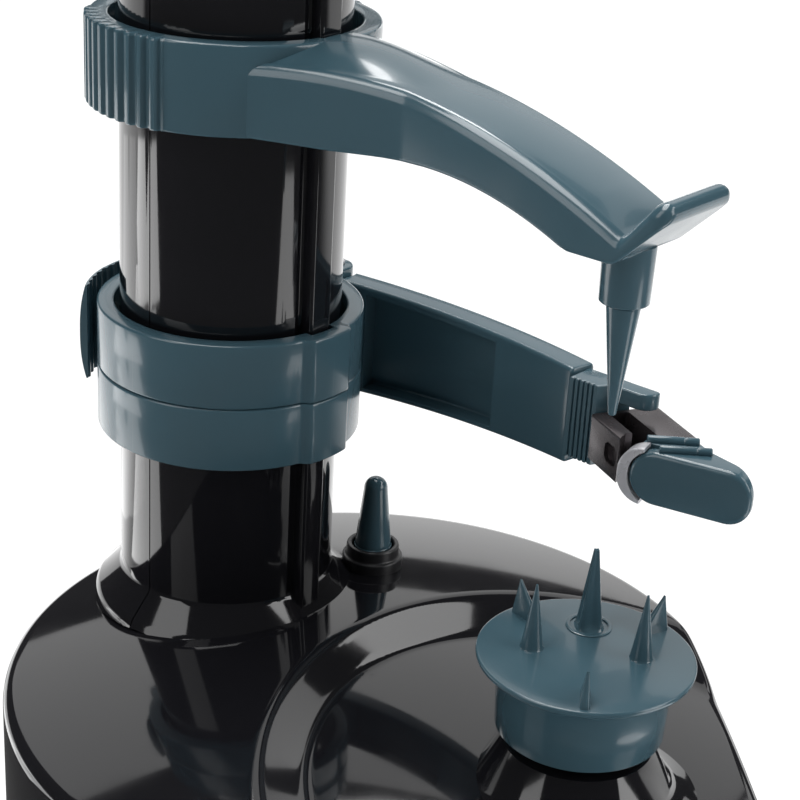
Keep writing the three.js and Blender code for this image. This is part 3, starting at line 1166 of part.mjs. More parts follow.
function bladeArm() {
  const rootY = armPivot.y;
  const far = BLADE_ARM_END_Y;
  const band = sector(armInner, armOuter, armTurnAt(far - OVERRUN), armTurnAt(rootY),
    BLADE_ARM_ROOT_BOTTOM - OVERRUN,
    BLADE_ARM_ROOT_TOP + OVERRUN, 12, armCurveX, BLADE_ARM_BULGE_Y);
  const side = [[rootY + OVERRUN, BLADE_ARM_ROOT_BOTTOM], [rootY + OVERRUN, BLADE_ARM_ROOT_TOP],
    [far, BLADE_ARM_END_TOP], [far, BLADE_ARM_END_BOTTOM]];
  const beam = common(band, sidePrism(side, 0, armPivot.x * 2));
  const swing = bar(HINGE_CLEARANCE, HINGE_CLEARANCE, CARRIAGE_BOTTOM - OVERRUN, CARRIAGE_TOP + OVERRUN,
    armPivot.x, armPivot.y, 24);
  const beside = span(0, armPivot.x, armPivot.y - HINGE_CLEARANCE, armPivot.y + HINGE_CLEARANCE,
    CARRIAGE_BOTTOM - OVERRUN, CARRIAGE_TOP + OVERRUN);
  const pocketBand = sector(armInner - OVERRUN, armInner + POCKET_DEPTH, armTurnAt(POCKET_END_Y),
    armTurnAt(POCKET_START_Y), BLADE_ARM_ROOT_BOTTOM, BLADE_ARM_ROOT_TOP, 8, armCurveX, BLADE_ARM_BULGE_Y);
  const pocketSide = [[rootY, BLADE_ARM_ROOT_BOTTOM + POCKET_SILL], [rootY, BLADE_ARM_ROOT_TOP - POCKET_WALL],
    [far, BLADE_ARM_END_TOP - POCKET_WALL], [far, BLADE_ARM_END_BOTTOM + POCKET_SILL]];
  const pocket = common(pocketBand, sidePrism(pocketSide, 0, armPivot.x * 2));
  const barrelLow = armLugLow[1] + RUNNING_GAP;
  const barrel = bar(HINGE_BARREL_RADIUS, HINGE_BARREL_RADIUS, barrelLow, BARREL_TOP, armPivot.x,
    armPivot.y);
  const web = span(armPivot.x - HINGE_BARREL_RADIUS * WEB_SHARE, armPivot.x + HINGE_BARREL_RADIUS,
    armPivot.y - HINGE_CLEARANCE - FIT_GAP * 2, armPivot.y - HINGE_BARREL_RADIUS * SOFT_EDGE_SHARE,
      barrelLow, BARREL_TOP);
  const hole = HINGE_PIN_RADIUS + FIT_GAP;
  const pinHole = bar(hole, hole, barrelLow - OVERRUN, BARREL_TOP + OVERRUN, armPivot.x, armPivot.y, 14);
  const socket = span(tongueX - FIT_GAP, tongueX + TONGUE_THICK + FIT_GAP, far - OVERRUN,
    far + TONGUE_LENGTH + FIT_GAP, tongueBottom - FIT_GAP, tongueBottom + TONGUE_HEIGHT + FIT_GAP);
  return cut(joined(cut(beam, swing, beside, pocket), barrel, web), pinHole, socket);
}

const tongueX = CLIP_X + TONGUE_SHIFT - TONGUE_THICK * HALF;
const tongueBottom = (CLIP_BOTTOM + CLIP_TOP - TONGUE_HEIGHT) * HALF;
const clipRear = BLADE_ARM_END_Y - FIT_GAP;
const clipFront = clipRear - CLIP_LENGTH;
const yokeRise = Math.tan(YOKE_TURN * DEGREE);

// The yoke turns about an axis through the middle of the clip's slanted front.
const yokePlace = [CLIP_X, clipFront + CLIP_WIDTH * HALF * yokeRise - RUNNING_GAP, YOKE_AXIS];

// A round bar that lies along Y, about the yoke's axis.
function levelBar(radius, y1, y2, sides = 14) {
  return new THREE.CylinderGeometry(radius, radius, y2 - y1, sides).translate(0, (y1 + y2) * HALF, 0);
}

function asYoke(shape) {
  return shape.rotateZ(YOKE_TURN * DEGREE).translate(...yokePlace);
}

function bladeClip() {
  const half = CLIP_WIDTH * HALF;
  const left = CLIP_X - half;
  const right = CLIP_X + half;
  const outline = [[left, clipRear], [left, clipFront], [right, clipFront + CLIP_WIDTH * yokeRise],
    [right, clipRear]];
  const body = prism(outline, CLIP_BOTTOM, CLIP_TOP);
  const tongue = span(tongueX, tongueX + TONGUE_THICK, clipRear - FIT_GAP, BLADE_ARM_END_Y + TONGUE_LENGTH,
    tongueBottom, tongueBottom + TONGUE_HEIGHT);
  const jawTip = clipFront - JAW_LENGTH + JAW_HEIGHT * HALF;
  const jaw = span(right - JAW_WIDTH, right, jawTip, clipFront + FIT_GAP, CLIP_TOP - JAW_HEIGHT, CLIP_TOP);
  const round = new THREE.CylinderGeometry(JAW_HEIGHT * HALF, JAW_HEIGHT * HALF, JAW_WIDTH, 14);
  round.rotateZ(90 * DEGREE).translate(right - JAW_WIDTH * HALF, jawTip, CLIP_TOP - JAW_HEIGHT * HALF);
  const pitch = CLIP_LENGTH / CLIP_RIBS;
  const ribs = Array.from({ length: CLIP_RIBS - 1 }, (_, i) => {
    const y = clipFront + (i + 2 * RIB_SHARE) * pitch;
    return span(left - OVERRUN, left + CLIP_RIB_DEPTH, y, y + pitch * RIB_SHARE, CLIP_BOTTOM - OVERRUN,
      CLIP_TOP + OVERRUN);
  });
  const bore = asYoke(levelBar(YOKE_STEM_RADIUS + FIT_GAP, -OVERRUN, YOKE_STEM_LENGTH + FIT_GAP));
  return cut(joined(body, tongue, jaw, round), ...ribs, bore);
}

const yokeLow = YOKE_BOTTOM - YOKE_AXIS;
const yokeHigh = YOKE_TOP - YOKE_AXIS;
const bladeX = SHOE_THICK + FIT_GAP;
const holderX = bladeX + BLADE_THICK + FIT_GAP;
const hingeBarSpread = HINGE_BAR_RADIUS * 5;

// Moves a shape from the shoe's own frame to the yoke's.
function fromShoe(shape) {
  shape.rotateZ(SHOE_TURN * DEGREE).translate(SHOE_X - yokePlace[0], SHOE_Y - yokePlace[1], -YOKE_AXIS);
  return shape.rotateZ(-YOKE_TURN * DEGREE);
}

// A point beside the slanted line on which the holder's hinge bars lie: along it, and across it to the rear.
function onSlant(along, across) {
  const slant = SLANT_TURN * DEGREE;
  return [SLANT_X + along * Math.sin(slant) + across * Math.cos(slant),
    -SLANT_Y - along * Math.cos(slant) + across * Math.sin(slant)];
}

// A channel with a rear wall, a thick left side and a broad right side, cut off along the holder.
function bladeYoke() {
  const body = span(-YOKE_LEFT, YOKE_RIGHT, -YOKE_LENGTH, 0, yokeLow, yokeHigh);
  const hollow = span(-YOKE_CHANNEL_LEFT, YOKE_CHANNEL_RIGHT, -YOKE_LENGTH - OVERRUN, -YOKE_WALL,
    yokeLow + YOKE_WALL, yokeHigh + OVERRUN);
  const behind = hingeBarSpread + HINGE_BAR_RADIUS + FIT_GAP;
  const lead = BLADE_LEAD + FIT_GAP;
  const turn = onSlant(-(lead + SLANT_Y - behind * Math.sin(SLANT_TURN * DEGREE))
    / Math.cos(SLANT_TURN * DEGREE), behind);
  const front = fromShoe(prism([[-YOKE_LENGTH, lead], turn, onSlant(SHOE_LENGTH * 2, behind),
    [-YOKE_LENGTH, -SHOE_LENGTH * 2]], SHOE_BOTTOM - OVERRUN, SHOE_TOP + OVERRUN));
  const half = YOKE_RECESS_WIDTH * HALF;
  const recess = span(-YOKE_LEFT - OVERRUN, -YOKE_LEFT + YOKE_RECESS_DEPTH, -YOKE_RECESS_Y - half,
    -YOKE_RECESS_Y + half, -YOKE_RECESS_HEIGHT * HALF, YOKE_RECESS_HEIGHT * HALF);
  const stem = levelBar(YOKE_STEM_RADIUS, -YOKE_WALL * HALF, YOKE_STEM_LENGTH);
  return joined(cut(body, hollow, front, recess), stem);
}

// The shoe's side is a D: round at the rear, with a flatter round tip.
function shoeSide(grow, from, to) {
  const rear = SHOE_REAR_ROUND;
  const tip = SHOE_TIP_ROUND;
  const low = SHOE_BOTTOM - grow;
  const high = SHOE_TOP + grow;
  return [...arc(rear, 90, 0, 5, -from - rear, high - rear), ...arc(rear, 0, -90, 5, -from - rear,
    low + rear),
    ...arc(tip, 270, 180, 4, -to + tip, low + tip), ...arc(tip, 180, 90, 4, -to + tip, high - tip)];
}

// A round hinge bar along the slanted line, with its middle at a height.
function hingeBar(across, z) {
  const [x, y] = onSlant(0, across);
  return levelBar(HINGE_BAR_RADIUS, -HINGE_BAR_LENGTH, 0, 10).rotateZ(SLANT_TURN * DEGREE).translate(x, y, z);
}

// The shoe is a wedge whose slanted rear carries one hinge bar. The blade lies in a slot in its bottom.
function guideShoe() {
  const edge = HINGE_BAR_RADIUS;
  const plan = [[0, OVERRUN], [0, -SHOE_LENGTH - OVERRUN], [SHOE_TIP_THICK, -SHOE_LENGTH - OVERRUN],
    [SHOE_TIP_THICK, -SHOE_LENGTH], onSlant(HINGE_BAR_LENGTH, edge), onSlant(0, edge),
    [SHOE_THICK, OVERRUN]];
  const side = sidePrism(shoeSide(0, 0, SHOE_LENGTH), -OVERRUN, SHOE_LENGTH);
  const body = common(prism(plan, SHOE_BOTTOM, SHOE_TOP), side);
  const slot = span(bladeX - FIT_GAP, bladeX + BLADE_THICK + FIT_GAP, -BLADE_LENGTH - FIT_GAP, OVERRUN,
    SHOE_BOTTOM - OVERRUN, SHOE_TOP - SHOE_ROOF);
  return fromShoe(joined(cut(body, slot), hingeBar(0, SHOE_TOP + HINGE_BAR_RADIUS * HALF)));
}

// The blade plate ends in a pale band that wraps the shoe's round rear, and has a cutting slit.
function blade() {
  const over = BLADE_THICK * HALF;
  const outer = bladeX + BLADE_THICK;
  const whole = shoeSide(over, -BLADE_LEAD, BLADE_LENGTH);
  const plate = common(sidePrism(whole, bladeX, outer), span(0, outer + OVERRUN, -SHOE_LENGTH, BLADE_LEAD
    + OVERRUN, SHOE_BOTTOM - OVERRUN, SHOE_TOP - SHOE_ROOF - FIT_GAP));
  const inside = sidePrism(shoeSide(FIT_GAP, -FIT_GAP, SHOE_LENGTH * 2), -OVERRUN, outer + OVERRUN);
  const ahead = span(-OVERRUN, outer + OVERRUN, -SHOE_LENGTH * 2, -SHOE_REAR_ROUND * HALF,
    SHOE_BOTTOM - BLADE_LENGTH, SHOE_TOP + BLADE_LENGTH);
  const band = cut(sidePrism(whole, 0, outer), inside, ahead);
  const middle = (BLADE_LENGTH - BLADE_LEAD) * -HALF;
  const slit = span(bladeX - OVERRUN, bladeX + OVERRUN, middle - BLADE_SLIT, middle + BLADE_SLIT,
    SHOE_BOTTOM + BLADE_EDGE, SHOE_TOP - SHOE_ROOF - BLADE_EDGE);
  return fromShoe(cut(joined(plate, band), slit));
}

// The holder stands between the shoe's slanted rear and the yoke, and carries the other hinge bar.
function bladeHolder() {
  const near = HINGE_BAR_RADIUS + FIT_GAP;
  const rear = hingeBarSpread + HINGE_BAR_RADIUS;
  const meet = (holderX - onSlant(0, near)[0]) / Math.sin(SLANT_TURN * DEGREE);
  const heel = onSlant(-HOLDER_SHIFT, rear);
  const plan = [onSlant(meet, near), onSlant(HINGE_BAR_LENGTH, near),
    onSlant(HINGE_BAR_LENGTH - HOLDER_SHIFT, rear), heel, [holderX, heel[1]]];
  const body = prism(plan, SHOE_BOTTOM + HOLDER_RISE, SHOE_TOP);
  const [x, y] = onSlant(-HOLDER_SHIFT, hingeBarSpread);
  const [x0, y0] = onSlant(0, hingeBarSpread);
  const bar1 = hingeBar(hingeBarSpread, SHOE_TOP + HINGE_BAR_RADIUS * HALF).translate(x - x0, y - y0, 0);
  return fromShoe(joined(body, bar1));
}

// Start button

function startButton() {
  const low = BUTTON_FOOT + BUTTON_FLANGE;
  const dome = arc(BUTTON_TIP_RADIUS, 0, 90, 4).map(([r, z]) => [r, BUTTON_TOP - BUTTON_TIP_RADIUS + z]);
  dome[dome.length - 1][0] = 0;
  const stemFoot = switchTop + BUTTON_TRAVEL + RUNNING_GAP;
  return turned([[0, stemFoot], [BUTTON_STEM_RADIUS, stemFoot], [BUTTON_STEM_RADIUS, BUTTON_FOOT],
    [BUTTON_FLANGE_RADIUS, BUTTON_FOOT], [BUTTON_FLANGE_RADIUS, low], [BUTTON_LOW_RADIUS, low], ...dome],
  0, 0, 22);
}

function buttonCollar() {
  const bore = BUTTON_FLANGE_RADIUS + RUNNING_GAP;
  const ring = turned([[bore, 0], [COLLAR_RADIUS, 0], [COLLAR_RADIUS, COLLAR_STEP],
    [COLLAR_STEP_RADIUS, COLLAR_STEP], [COLLAR_STEP_RADIUS, COLLAR_TOP], [bore, COLLAR_TOP], [bore, 0]],
  BUTTON_X, BUTTON_Y, 28);
  return cut(ring, underDome(FIT_GAP));
}

const switchTop = GEAR_PLATE_BOTTOM + GEAR_PLATE_THICK + FIT_GAP + SWITCH_HEIGHT;

function startSwitch() {
  return block(SWITCH_WIDTH, SWITCH_DEPTH, SWITCH_HEIGHT, 0, 0, switchTop - SWITCH_HEIGHT);
}

// Assembly

piece('base_cover', baseCover(), 'black');
piece('base_plate', basePlate(), 'black');
piece('battery_door', batteryDoor(), 'black');
for (let i = 0; i < CELL_COUNT; i += 1) cell(i);
[['contact_strip_left', bayLeft + FIT_GAP], ['contact_strip_right', BAY_RIGHT - FIT_GAP - CONTACT_THICK]]
  .forEach(([name, x]) => {
    piece(name, span(x, x + CONTACT_THICK, -bayHalfWidth + FIT_GAP, bayHalfWidth - FIT_GAP,
      plateTop + FIT_GAP, bayRoof - FIT_GAP), 'steel');
  });
FOOT_ANGLES.forEach((_, i) => foot(i));
SCREW_ANGLES.forEach((_, i) => baseScrew(i));
piece('dc_jack', dcJack(), 'rubber');
gearTrain();
piece('gear_plate', gearPlate(), 'nylon');
piece('turntable', turntable(), 'teal');
piece('spindle', bar(SPINDLE_RADIUS, SPINDLE_RADIUS, plateTop, SPINDLE_TOP, 0, 0, 20), 'steel',
  [0, SPINDLE_Y, 0]);
piece('spindle_bush', spindleBush(), 'brass');
columnHalves();
piece('column_cap', columnCap(), 'black');
piece('screw_bush', screwBush(), 'brass');
leadScrew();
piece('top_arm', topArm(), 'teal');
piece('top_pin', topPin(), 'teal');
piece('pin_clip', pinClip(), 'steel');
piece('friction_pad', frictionPad(), 'rubber');
piece('carriage_lower', carriageRing(CARRIAGE_BOTTOM, CARRIAGE_SPLIT - halfGap, leverLugLow,
  armLugLow), 'teal');
piece('carriage_upper', carriageRing(CARRIAGE_SPLIT + halfGap, CARRIAGE_TOP, leverLugTop, armLugTop),
  'teal');
hingePin('lever_pin', leverPivot);
hingePin('arm_pin', armPivot);
piece('half_nut', halfNut(), 'nylon');
piece('release_lever', releaseLever(), 'teal');
piece('blade_arm', bladeArm(), 'teal');
piece('arm_spring', coil(SPRING_RADIUS, SPRING_WIRE, BARREL_TOP + RUNNING_GAP, SPRING_PITCH,
  SPRING_TURNS), 'steel',
  [armPivot.x, armPivot.y, 0]);
piece('blade_clip', bladeClip(), 'teal');
const yokeAngle = YOKE_TURN * DEGREE;
piece('blade_yoke', bladeYoke(), 'darkSteel', yokePlace, yokeAngle);
piece('guide_shoe', guideShoe(), 'teal', yokePlace, yokeAngle);
piece('peeling_blade', blade(), 'steel', yokePlace, yokeAngle);
piece('blade_holder', bladeHolder(), 'teal', yokePlace, yokeAngle);
piece('start_button', startButton(), 'teal', [BUTTON_X, BUTTON_Y, 0]);
piece('button_collar', buttonCollar(), 'rubber');
piece('start_switch', startSwitch(), 'rubber', [BUTTON_X, BUTTON_Y, 0]);

export default peeler;
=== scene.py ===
"""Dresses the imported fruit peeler: fine visible shells, procedural finishes, studio and camera.

Sizes are in millimetres in the classes below and become metres when a mesh is made.
"""
from __future__ import annotations

import json
import logging
import math
from dataclasses import dataclass
from enum import Enum
from typing import Callable, Sequence

import bmesh
import bpy
from mathutils import Matrix, Vector

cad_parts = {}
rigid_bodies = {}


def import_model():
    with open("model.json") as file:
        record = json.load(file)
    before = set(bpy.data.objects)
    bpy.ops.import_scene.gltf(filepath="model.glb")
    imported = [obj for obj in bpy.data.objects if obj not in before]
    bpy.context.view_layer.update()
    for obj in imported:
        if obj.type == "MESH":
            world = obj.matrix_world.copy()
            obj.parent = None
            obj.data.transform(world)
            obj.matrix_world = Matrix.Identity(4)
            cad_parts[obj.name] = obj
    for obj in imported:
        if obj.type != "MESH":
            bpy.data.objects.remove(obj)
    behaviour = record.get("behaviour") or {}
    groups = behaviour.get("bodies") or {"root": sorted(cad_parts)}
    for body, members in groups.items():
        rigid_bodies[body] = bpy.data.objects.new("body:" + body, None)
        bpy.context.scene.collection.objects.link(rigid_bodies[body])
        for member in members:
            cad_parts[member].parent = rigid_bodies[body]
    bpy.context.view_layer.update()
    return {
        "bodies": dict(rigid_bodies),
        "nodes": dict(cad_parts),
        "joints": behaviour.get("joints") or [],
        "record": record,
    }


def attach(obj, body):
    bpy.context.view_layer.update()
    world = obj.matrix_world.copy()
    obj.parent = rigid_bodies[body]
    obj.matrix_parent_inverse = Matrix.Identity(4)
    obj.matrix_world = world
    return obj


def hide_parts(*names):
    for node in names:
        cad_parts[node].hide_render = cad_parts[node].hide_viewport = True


LOG = logging.getLogger("peeler")
MM = 0.001
TINY = 1e-6
Flat = tuple[float, float]
Solid = tuple[float, float, float]
Colour = tuple[float, float, float]
Piece = bpy.types.Object

# Driving places and levels in millimetres
SPINDLE: Flat = (0.0, -54.6)
COLUMN: Flat = (0.0, 44.6)
BASE_RADIUS = 79.0
DOME_TOP = 47.5
DOME_FALL = 9.0
RAIL_HALF = 3.4
RAIL_ROOM = 26.8
ARM_PIVOT: Flat = (33.8, 44.6)
LEVER_PIVOT: Flat = (13.0, 75.8)
PIN_HOLE = 1.7
CLIP_LEFT = 27.4
CLIP_RIGHT = 34.4
CLIP_FRONT = -33.7
HEAD_TURN = -28.0
CUT_LOW = 80.0
CUT_HIGH = 120.0

# Angles in degrees and shares that shape corners and ribs
CREASE = 32.0
RING_CREASE = 28.0
SMOOTH_CORNER = 158.0
CORNER_SHARE = 0.45
MITRE_LIMIT = 0.45
RIB_SLOPE = 5.0
RIB_SOFTNESS = 0.3


class Lie(Enum):
    """The way that a flat outline is laid before it is thickened."""

    PLAN = "outline in X and Y, thickened along Z"
    SIDE = "outline in Y and Z, thickened along X"


# Outlines


def blend(first: float, last: float, share: float) -> float:
    """A value between two others."""
    return first + (last - first) * share


def hold(value: float) -> float:
    """A value kept between 0 and 1."""
    return max(0.0, min(1.0, value))


def quarter(steps: int) -> list[float]:
    """The angles of a quarter turn in radians, both ends included."""
    return [math.pi / 2 * i / steps for i in range(steps + 1)]


def polar(radius: float, turn: float, centre: Flat = (0.0, 0.0)) -> Flat:
    """A point at a radius and an angle in degrees from a centre."""
    a = math.radians(turn)
    return (centre[0] + radius * math.cos(a), centre[1] + radius * math.sin(a))


def arc(radius: float, start: float, end: float, steps: int, centre: Flat = (0.0, 0.0)) -> list[Flat]:
    """The points of a circular arc, one more than its steps, between two angles in degrees."""
    return [polar(radius, blend(start, end, i / steps), centre) for i in range(steps + 1)]


def soften(outline: Sequence[Flat], radius: float, steps: int = 4, closed: bool = True) -> list[Flat]:
    """Rounds each corner of an outline that is sharper than a smooth curve's.

    Args:
        outline: The outline's corners in order.
        radius: Wanted corner radius.
        steps: Intervals in each rounded corner.
        closed: Whether the last corner joins the first.

    Returns:
        The outline with rounded corners.
    """
    count = len(outline)
    result: list[Flat] = []
    for i, here in enumerate(outline):
        if not closed and i in (0, count - 1):
            result.append(here)
            continue
        p, q, r = Vector(outline[i - 1]), Vector(here), Vector(outline[(i + 1) % count])
        back, ahead = p - q, r - q
        if min(back.length, ahead.length) < TINY or back.angle(ahead) > math.radians(SMOOTH_CORNER):
            result.append(here)
            continue
        half = back.angle(ahead) / 2
        reach = min(radius / math.tan(half), CORNER_SHARE * back.length, CORNER_SHARE * ahead.length)
        first, last = q + back.normalized() * reach, q + ahead.normalized() * reach
        middle = q + (back.normalized() + ahead.normalized()).normalized() * (reach / math.cos(half))
        for k in range(steps + 1):
            spoke = (first - middle).lerp(last - middle, k / steps).normalized() * (first - middle).length
            result.append((middle.x + spoke.x, middle.y + spoke.y))
    return result


def inset(outline: Sequence[Flat], depth: float) -> list[Flat]:
    """Moves an outline that runs anticlockwise inwards by a small depth.

    Args:
        outline: Closed outline.
        depth: Distance to move each side.

    Returns:
        The moved outline, with one point for each point given.
    """
    count = len(outline)
    result: list[Flat] = []
    for i, here in enumerate(outline):
        q = Vector(here)
        a = (q - Vector(outline[i - 1])).normalized()
        b = (Vector(outline[(i + 1) % count]) - q).normalized()
        normal = Vector((-a.y - b.y, a.x + b.x)).normalized()
        if not (a.length and b.length and normal.length):
            result.append(here)
            continue
        grip = max(MITRE_LIMIT, Vector((-a.y, a.x)).dot(normal))
        q = q + normal * (depth / grip)
        result.append((q.x, q.y))
    return result


def anticlockwise(outline: Sequence[Flat]) -> list[Flat]:
    """The outline, turned round if it runs clockwise."""
    area = sum(outline[i - 1][0] * p[1] - p[0] * outline[i - 1][1] for i, p in enumerate(outline))
    return list(outline) if area > 0 else list(reversed(outline))


def ease(value: float, width: float) -> float:
    """Holds a value between 0 and 1, with soft turns at both ends.

    Args:
        value: The value to hold.
        width: Half the length of each soft turn.

    Returns:
        The held value.
    """
    def floor_soft(v: float) -> float:
        """Zero below, the value above, and a parabola between."""
        if v <= -width:
            return 0.0
        return v if v >= width else (v + width) ** 2 / (4 * width)

    return 1.0 - floor_soft(1.0 - floor_soft(value))


def rib(share: float, gap: float) -> float:
    """How far a rib stands, from 0 to 1, at a share of its pitch and with a gap beside it."""
    return ease((0.5 - abs(share % 1.0 - 0.5)) * RIB_SLOPE - gap, RIB_SOFTNESS)


def dome(x: float, y: float) -> float:
    """Height of the base's domed top."""
    return DOME_TOP - DOME_FALL * (x * x + y * y) / BASE_RADIUS ** 2


# Meshes


def shade(piece: Piece, crease: float = CREASE) -> None:
    """Shades a piece smooth, with edges sharp above an angle in degrees."""
    mesh = piece.data
    mesh.polygons.foreach_set("use_smooth", [True] * len(mesh.polygons))
    mesh.set_sharp_from_angle(angle=math.radians(crease))
    mesh.update()


def make(name: str, verts: Sequence[Solid], faces: Sequence[Sequence[int]], crease: float = CREASE) -> Piece:
    """Makes a smooth-shaded mesh object from points in millimetres.

    Args:
        name: Name of the piece.
        verts: Points in millimetres.
        faces: Faces as indices of the points.
        crease: Angle in degrees above which an edge stays sharp.

    Returns:
        The new object, linked to the scene.
    """
    mesh = bpy.data.meshes.new(name)
    mesh.from_pydata([(x * MM, y * MM, z * MM) for x, y, z in verts], [], [list(f) for f in faces])
    shape = bmesh.new()
    shape.from_mesh(mesh)
    bmesh.ops.remove_doubles(shape, verts=shape.verts, dist=1e-7)
    bmesh.ops.recalc_face_normals(shape, faces=shape.faces)
    shape.to_mesh(mesh)
    shape.free()
    piece = bpy.data.objects.new(name, mesh)
    bpy.context.scene.collection.objects.link(piece)
    shade(piece, crease)
    return piece


def bands(rows: int, size: int, closed_rows: bool = False, closed_row: bool = True) -> list[list[int]]:
    """The faces between rows of points that follow one another.

    Args:
        rows: Number of rows.
        size: Number of points in each row.
        closed_rows: Whether the last row joins the first.
        closed_row: Whether the last point of a row joins its first.

    Returns:
        Four-sided faces as indices of the points.
    """
    faces: list[list[int]] = []
    for i in range(rows if closed_rows else rows - 1):
        j = (i + 1) % rows
        for k in range(size if closed_row else size - 1):
            m = (k + 1) % size
            faces.append([i * size + k, j * size + k, j * size + m, i * size + m])
    return faces


def loft(name: str, sections: Sequence[Sequence[Solid]], crease: float = CREASE) -> Piece:
    """A closed skin through sections that have the same number of points.

    Args:
        name: Name of the piece.
        sections: Closed sections in order, each with its points in order.
        crease: Angle in degrees above which an edge stays sharp.

    Returns:
        The new object.
    """
    size, last = len(sections[0]), len(sections) - 1
    faces = [list(range(size)), *bands(last + 1, size), [last * size + i for i in range(size)]]
    return make(name, [point for section in sections for point in section], faces, crease)


def slab(name: str, outline: Sequence[Flat], low: float, high: float, edge: float = 0.4,
         lie: Lie = Lie.PLAN, steps: int = 3) -> Piece:
    """A thick plate with rounded rims.

    Args:
        name: Name of the piece.
        outline: Closed outline of the plate.
        low: First level of its thickness.
        high: Last level of its thickness.
        edge: Radius of the rims.
        lie: Which way the outline lies.
        steps: Intervals in each rounded rim.

    Returns:
        The new object.
    """
    outline = anticlockwise(outline)
    rings = [(edge * (1 - math.sin(a)), low + edge * (1 - math.cos(a))) for a in quarter(steps)]
    rings += [(depth, high + low - level) for depth, level in reversed(rings)]
    sections: list[list[Solid]] = []
    for depth, level in rings:
        ring = inset(outline, depth)
        sections.append([(x, y, level) if lie is Lie.PLAN else (level, x, y) for x, y in ring])
    return loft(name, sections)


def box(name: str, low: Solid, high: Solid, edge: float = 0.3) -> Piece:
    """A box between its lowest and its highest corner, with rounded edges."""
    outline = [(low[0], low[1]), (high[0], low[1]), (high[0], high[1]), (low[0], high[1])]
    return slab(name, soften(outline, edge * 1.7, 4), low[2], high[2], edge)


def turned(name: str, profile: Sequence[Flat], centre: Flat, sides: int, crease: float = CREASE) -> Piece:
    """A body turned about an upright axis.

    Args:
        name: Name of the piece.
        profile: Radius and height of each point.
        centre: Where the axis stands.
        sides: Number of steps round the axis.
        crease: Angle in degrees above which an edge stays sharp.

    Returns:
        The new object.
    """
    size = len(profile)
    verts = [(*polar(r, 360.0 * i / sides, centre), z) for i in range(sides) for r, z in profile]
    faces = [face for face in bands(sides, size, True, False)
             if max(profile[face[0] % size][0], profile[face[2] % size][0]) > TINY]
    return make(name, verts, faces, crease)


def drum(name: str, radius: float, low: float, high: float, centre: Flat, sides: int) -> Piece:
    """An upright cylinder between two levels."""
    return turned(name, [(0.0, low), (radius, low), (radius, high), (0.0, high)], centre, sides)


def soft_turned(name: str, profile: Sequence[Flat], corner: float, centre: Flat, sides: int) -> Piece:
    """A turned body whose profile has rounded corners."""
    return turned(name, soften(profile, corner, 3, False), centre, sides)


def polar_ring(name: str, low: float, high: float, inner: Callable[[float], float],
               outer: Callable[[float], float], edge: float, sides: int = 720) -> Piece:
    """A ring round the column whose radii may change with the angle, with rounded rims.

    Args:
        name: Name of the piece.
        low: Level of its underside.
        high: Level of its top.
        inner: Inner radius for an angle in degrees.
        outer: Outer radius for an angle in degrees.
        edge: Radius of the rims.
        sides: Number of steps round the ring.

    Returns:
        The new object.
    """
    bend = [(edge * (1 - math.cos(a)), edge * (1 - math.sin(a))) for a in quarter(3)]
    verts: list[Solid] = []
    for i in range(sides):
        angle = 360.0 * i / sides
        near, far = inner(angle), outer(angle)
        loop = [(far - d, low + z) for d, z in reversed(bend)] + [(far - d, high - z) for d, z in bend]
        loop += [(near + d, high - z) for d, z in reversed(bend)] + [(near + d, low + z) for d, z in bend]
        verts += [(*polar(r, angle, COLUMN), z) for r, z in loop]
    return make(name, verts, bands(sides, 4 * len(bend), True), RING_CREASE)


def rail_bore(bore: float) -> Callable[[float], float]:
    """The inner radius, by angle, of a ring that clears the column's rail."""
    def radius(angle: float) -> float:
        """Inner radius at an angle."""
        across = bore * math.cos(math.radians(angle))
        return RAIL_ROOM if abs(across) < RAIL_HALF and angle > 180 else bore
    return radius


def bake(piece: Piece) -> None:
    """Applies a piece's modifiers to its mesh."""
    graph = bpy.context.evaluated_depsgraph_get()
    fresh = bpy.data.meshes.new_from_object(piece.evaluated_get(graph))
    old = piece.data
    piece.modifiers.clear()
    piece.data = fresh
    bpy.data.meshes.remove(old)


def combine(piece: Piece, others: Sequence[Piece], how: str, crease: float = CREASE) -> None:
    """Joins other bodies to a piece, or cuts them out of it, and removes them.

    Args:
        piece: The piece to change.
        others: The bodies to join or cut with.
        how: UNION or DIFFERENCE.
        crease: Angle in degrees above which an edge stays sharp.
    """
    for other in others:
        step = piece.modifiers.new("step", "BOOLEAN")
        step.operation = how
        step.solver = "EXACT"
        step.object = other
        bake(piece)
        bpy.data.objects.remove(other)
    shade(piece, crease)


def merge(name: str, pieces: Sequence[Piece], crease: float) -> Piece:
    """Puts several meshes into one object and removes them.

    Args:
        name: Name of the new piece.
        pieces: The objects to put together.
        crease: Angle in degrees above which an edge stays sharp.

    Returns:
        The new object.
    """
    shape = bmesh.new()
    for piece in pieces:
        shape.from_mesh(piece.data)
    mesh = bpy.data.meshes.new(name)
    shape.to_mesh(mesh)
    shape.free()
    for piece in pieces:
        bpy.data.objects.remove(piece)
    whole = bpy.data.objects.new(name, mesh)
    bpy.context.scene.collection.objects.link(whole)
    shade(whole, crease)
    return whole


def moved(piece: Piece, turn: float, place: Flat) -> Piece:
    """Turns a piece's mesh about Z by degrees, then shifts it along X and Y."""
    shift = Matrix.Translation(Vector((*place, 0.0)) * MM)
    piece.data.transform(shift @ Matrix.Rotation(math.radians(turn), 4, "Z"))
    return piece


# Nodes and finishes


def fill(tree: bpy.types.NodeTree, node: bpy.types.Node, values: dict) -> None:
    """Sets each named or numbered input of a node, or links it where a socket is given."""
    for name, value in values.items():
        if isinstance(value, bpy.types.NodeSocket):
            tree.links.new(value, node.inputs[name])
        else:
            node.inputs[name].default_value = value


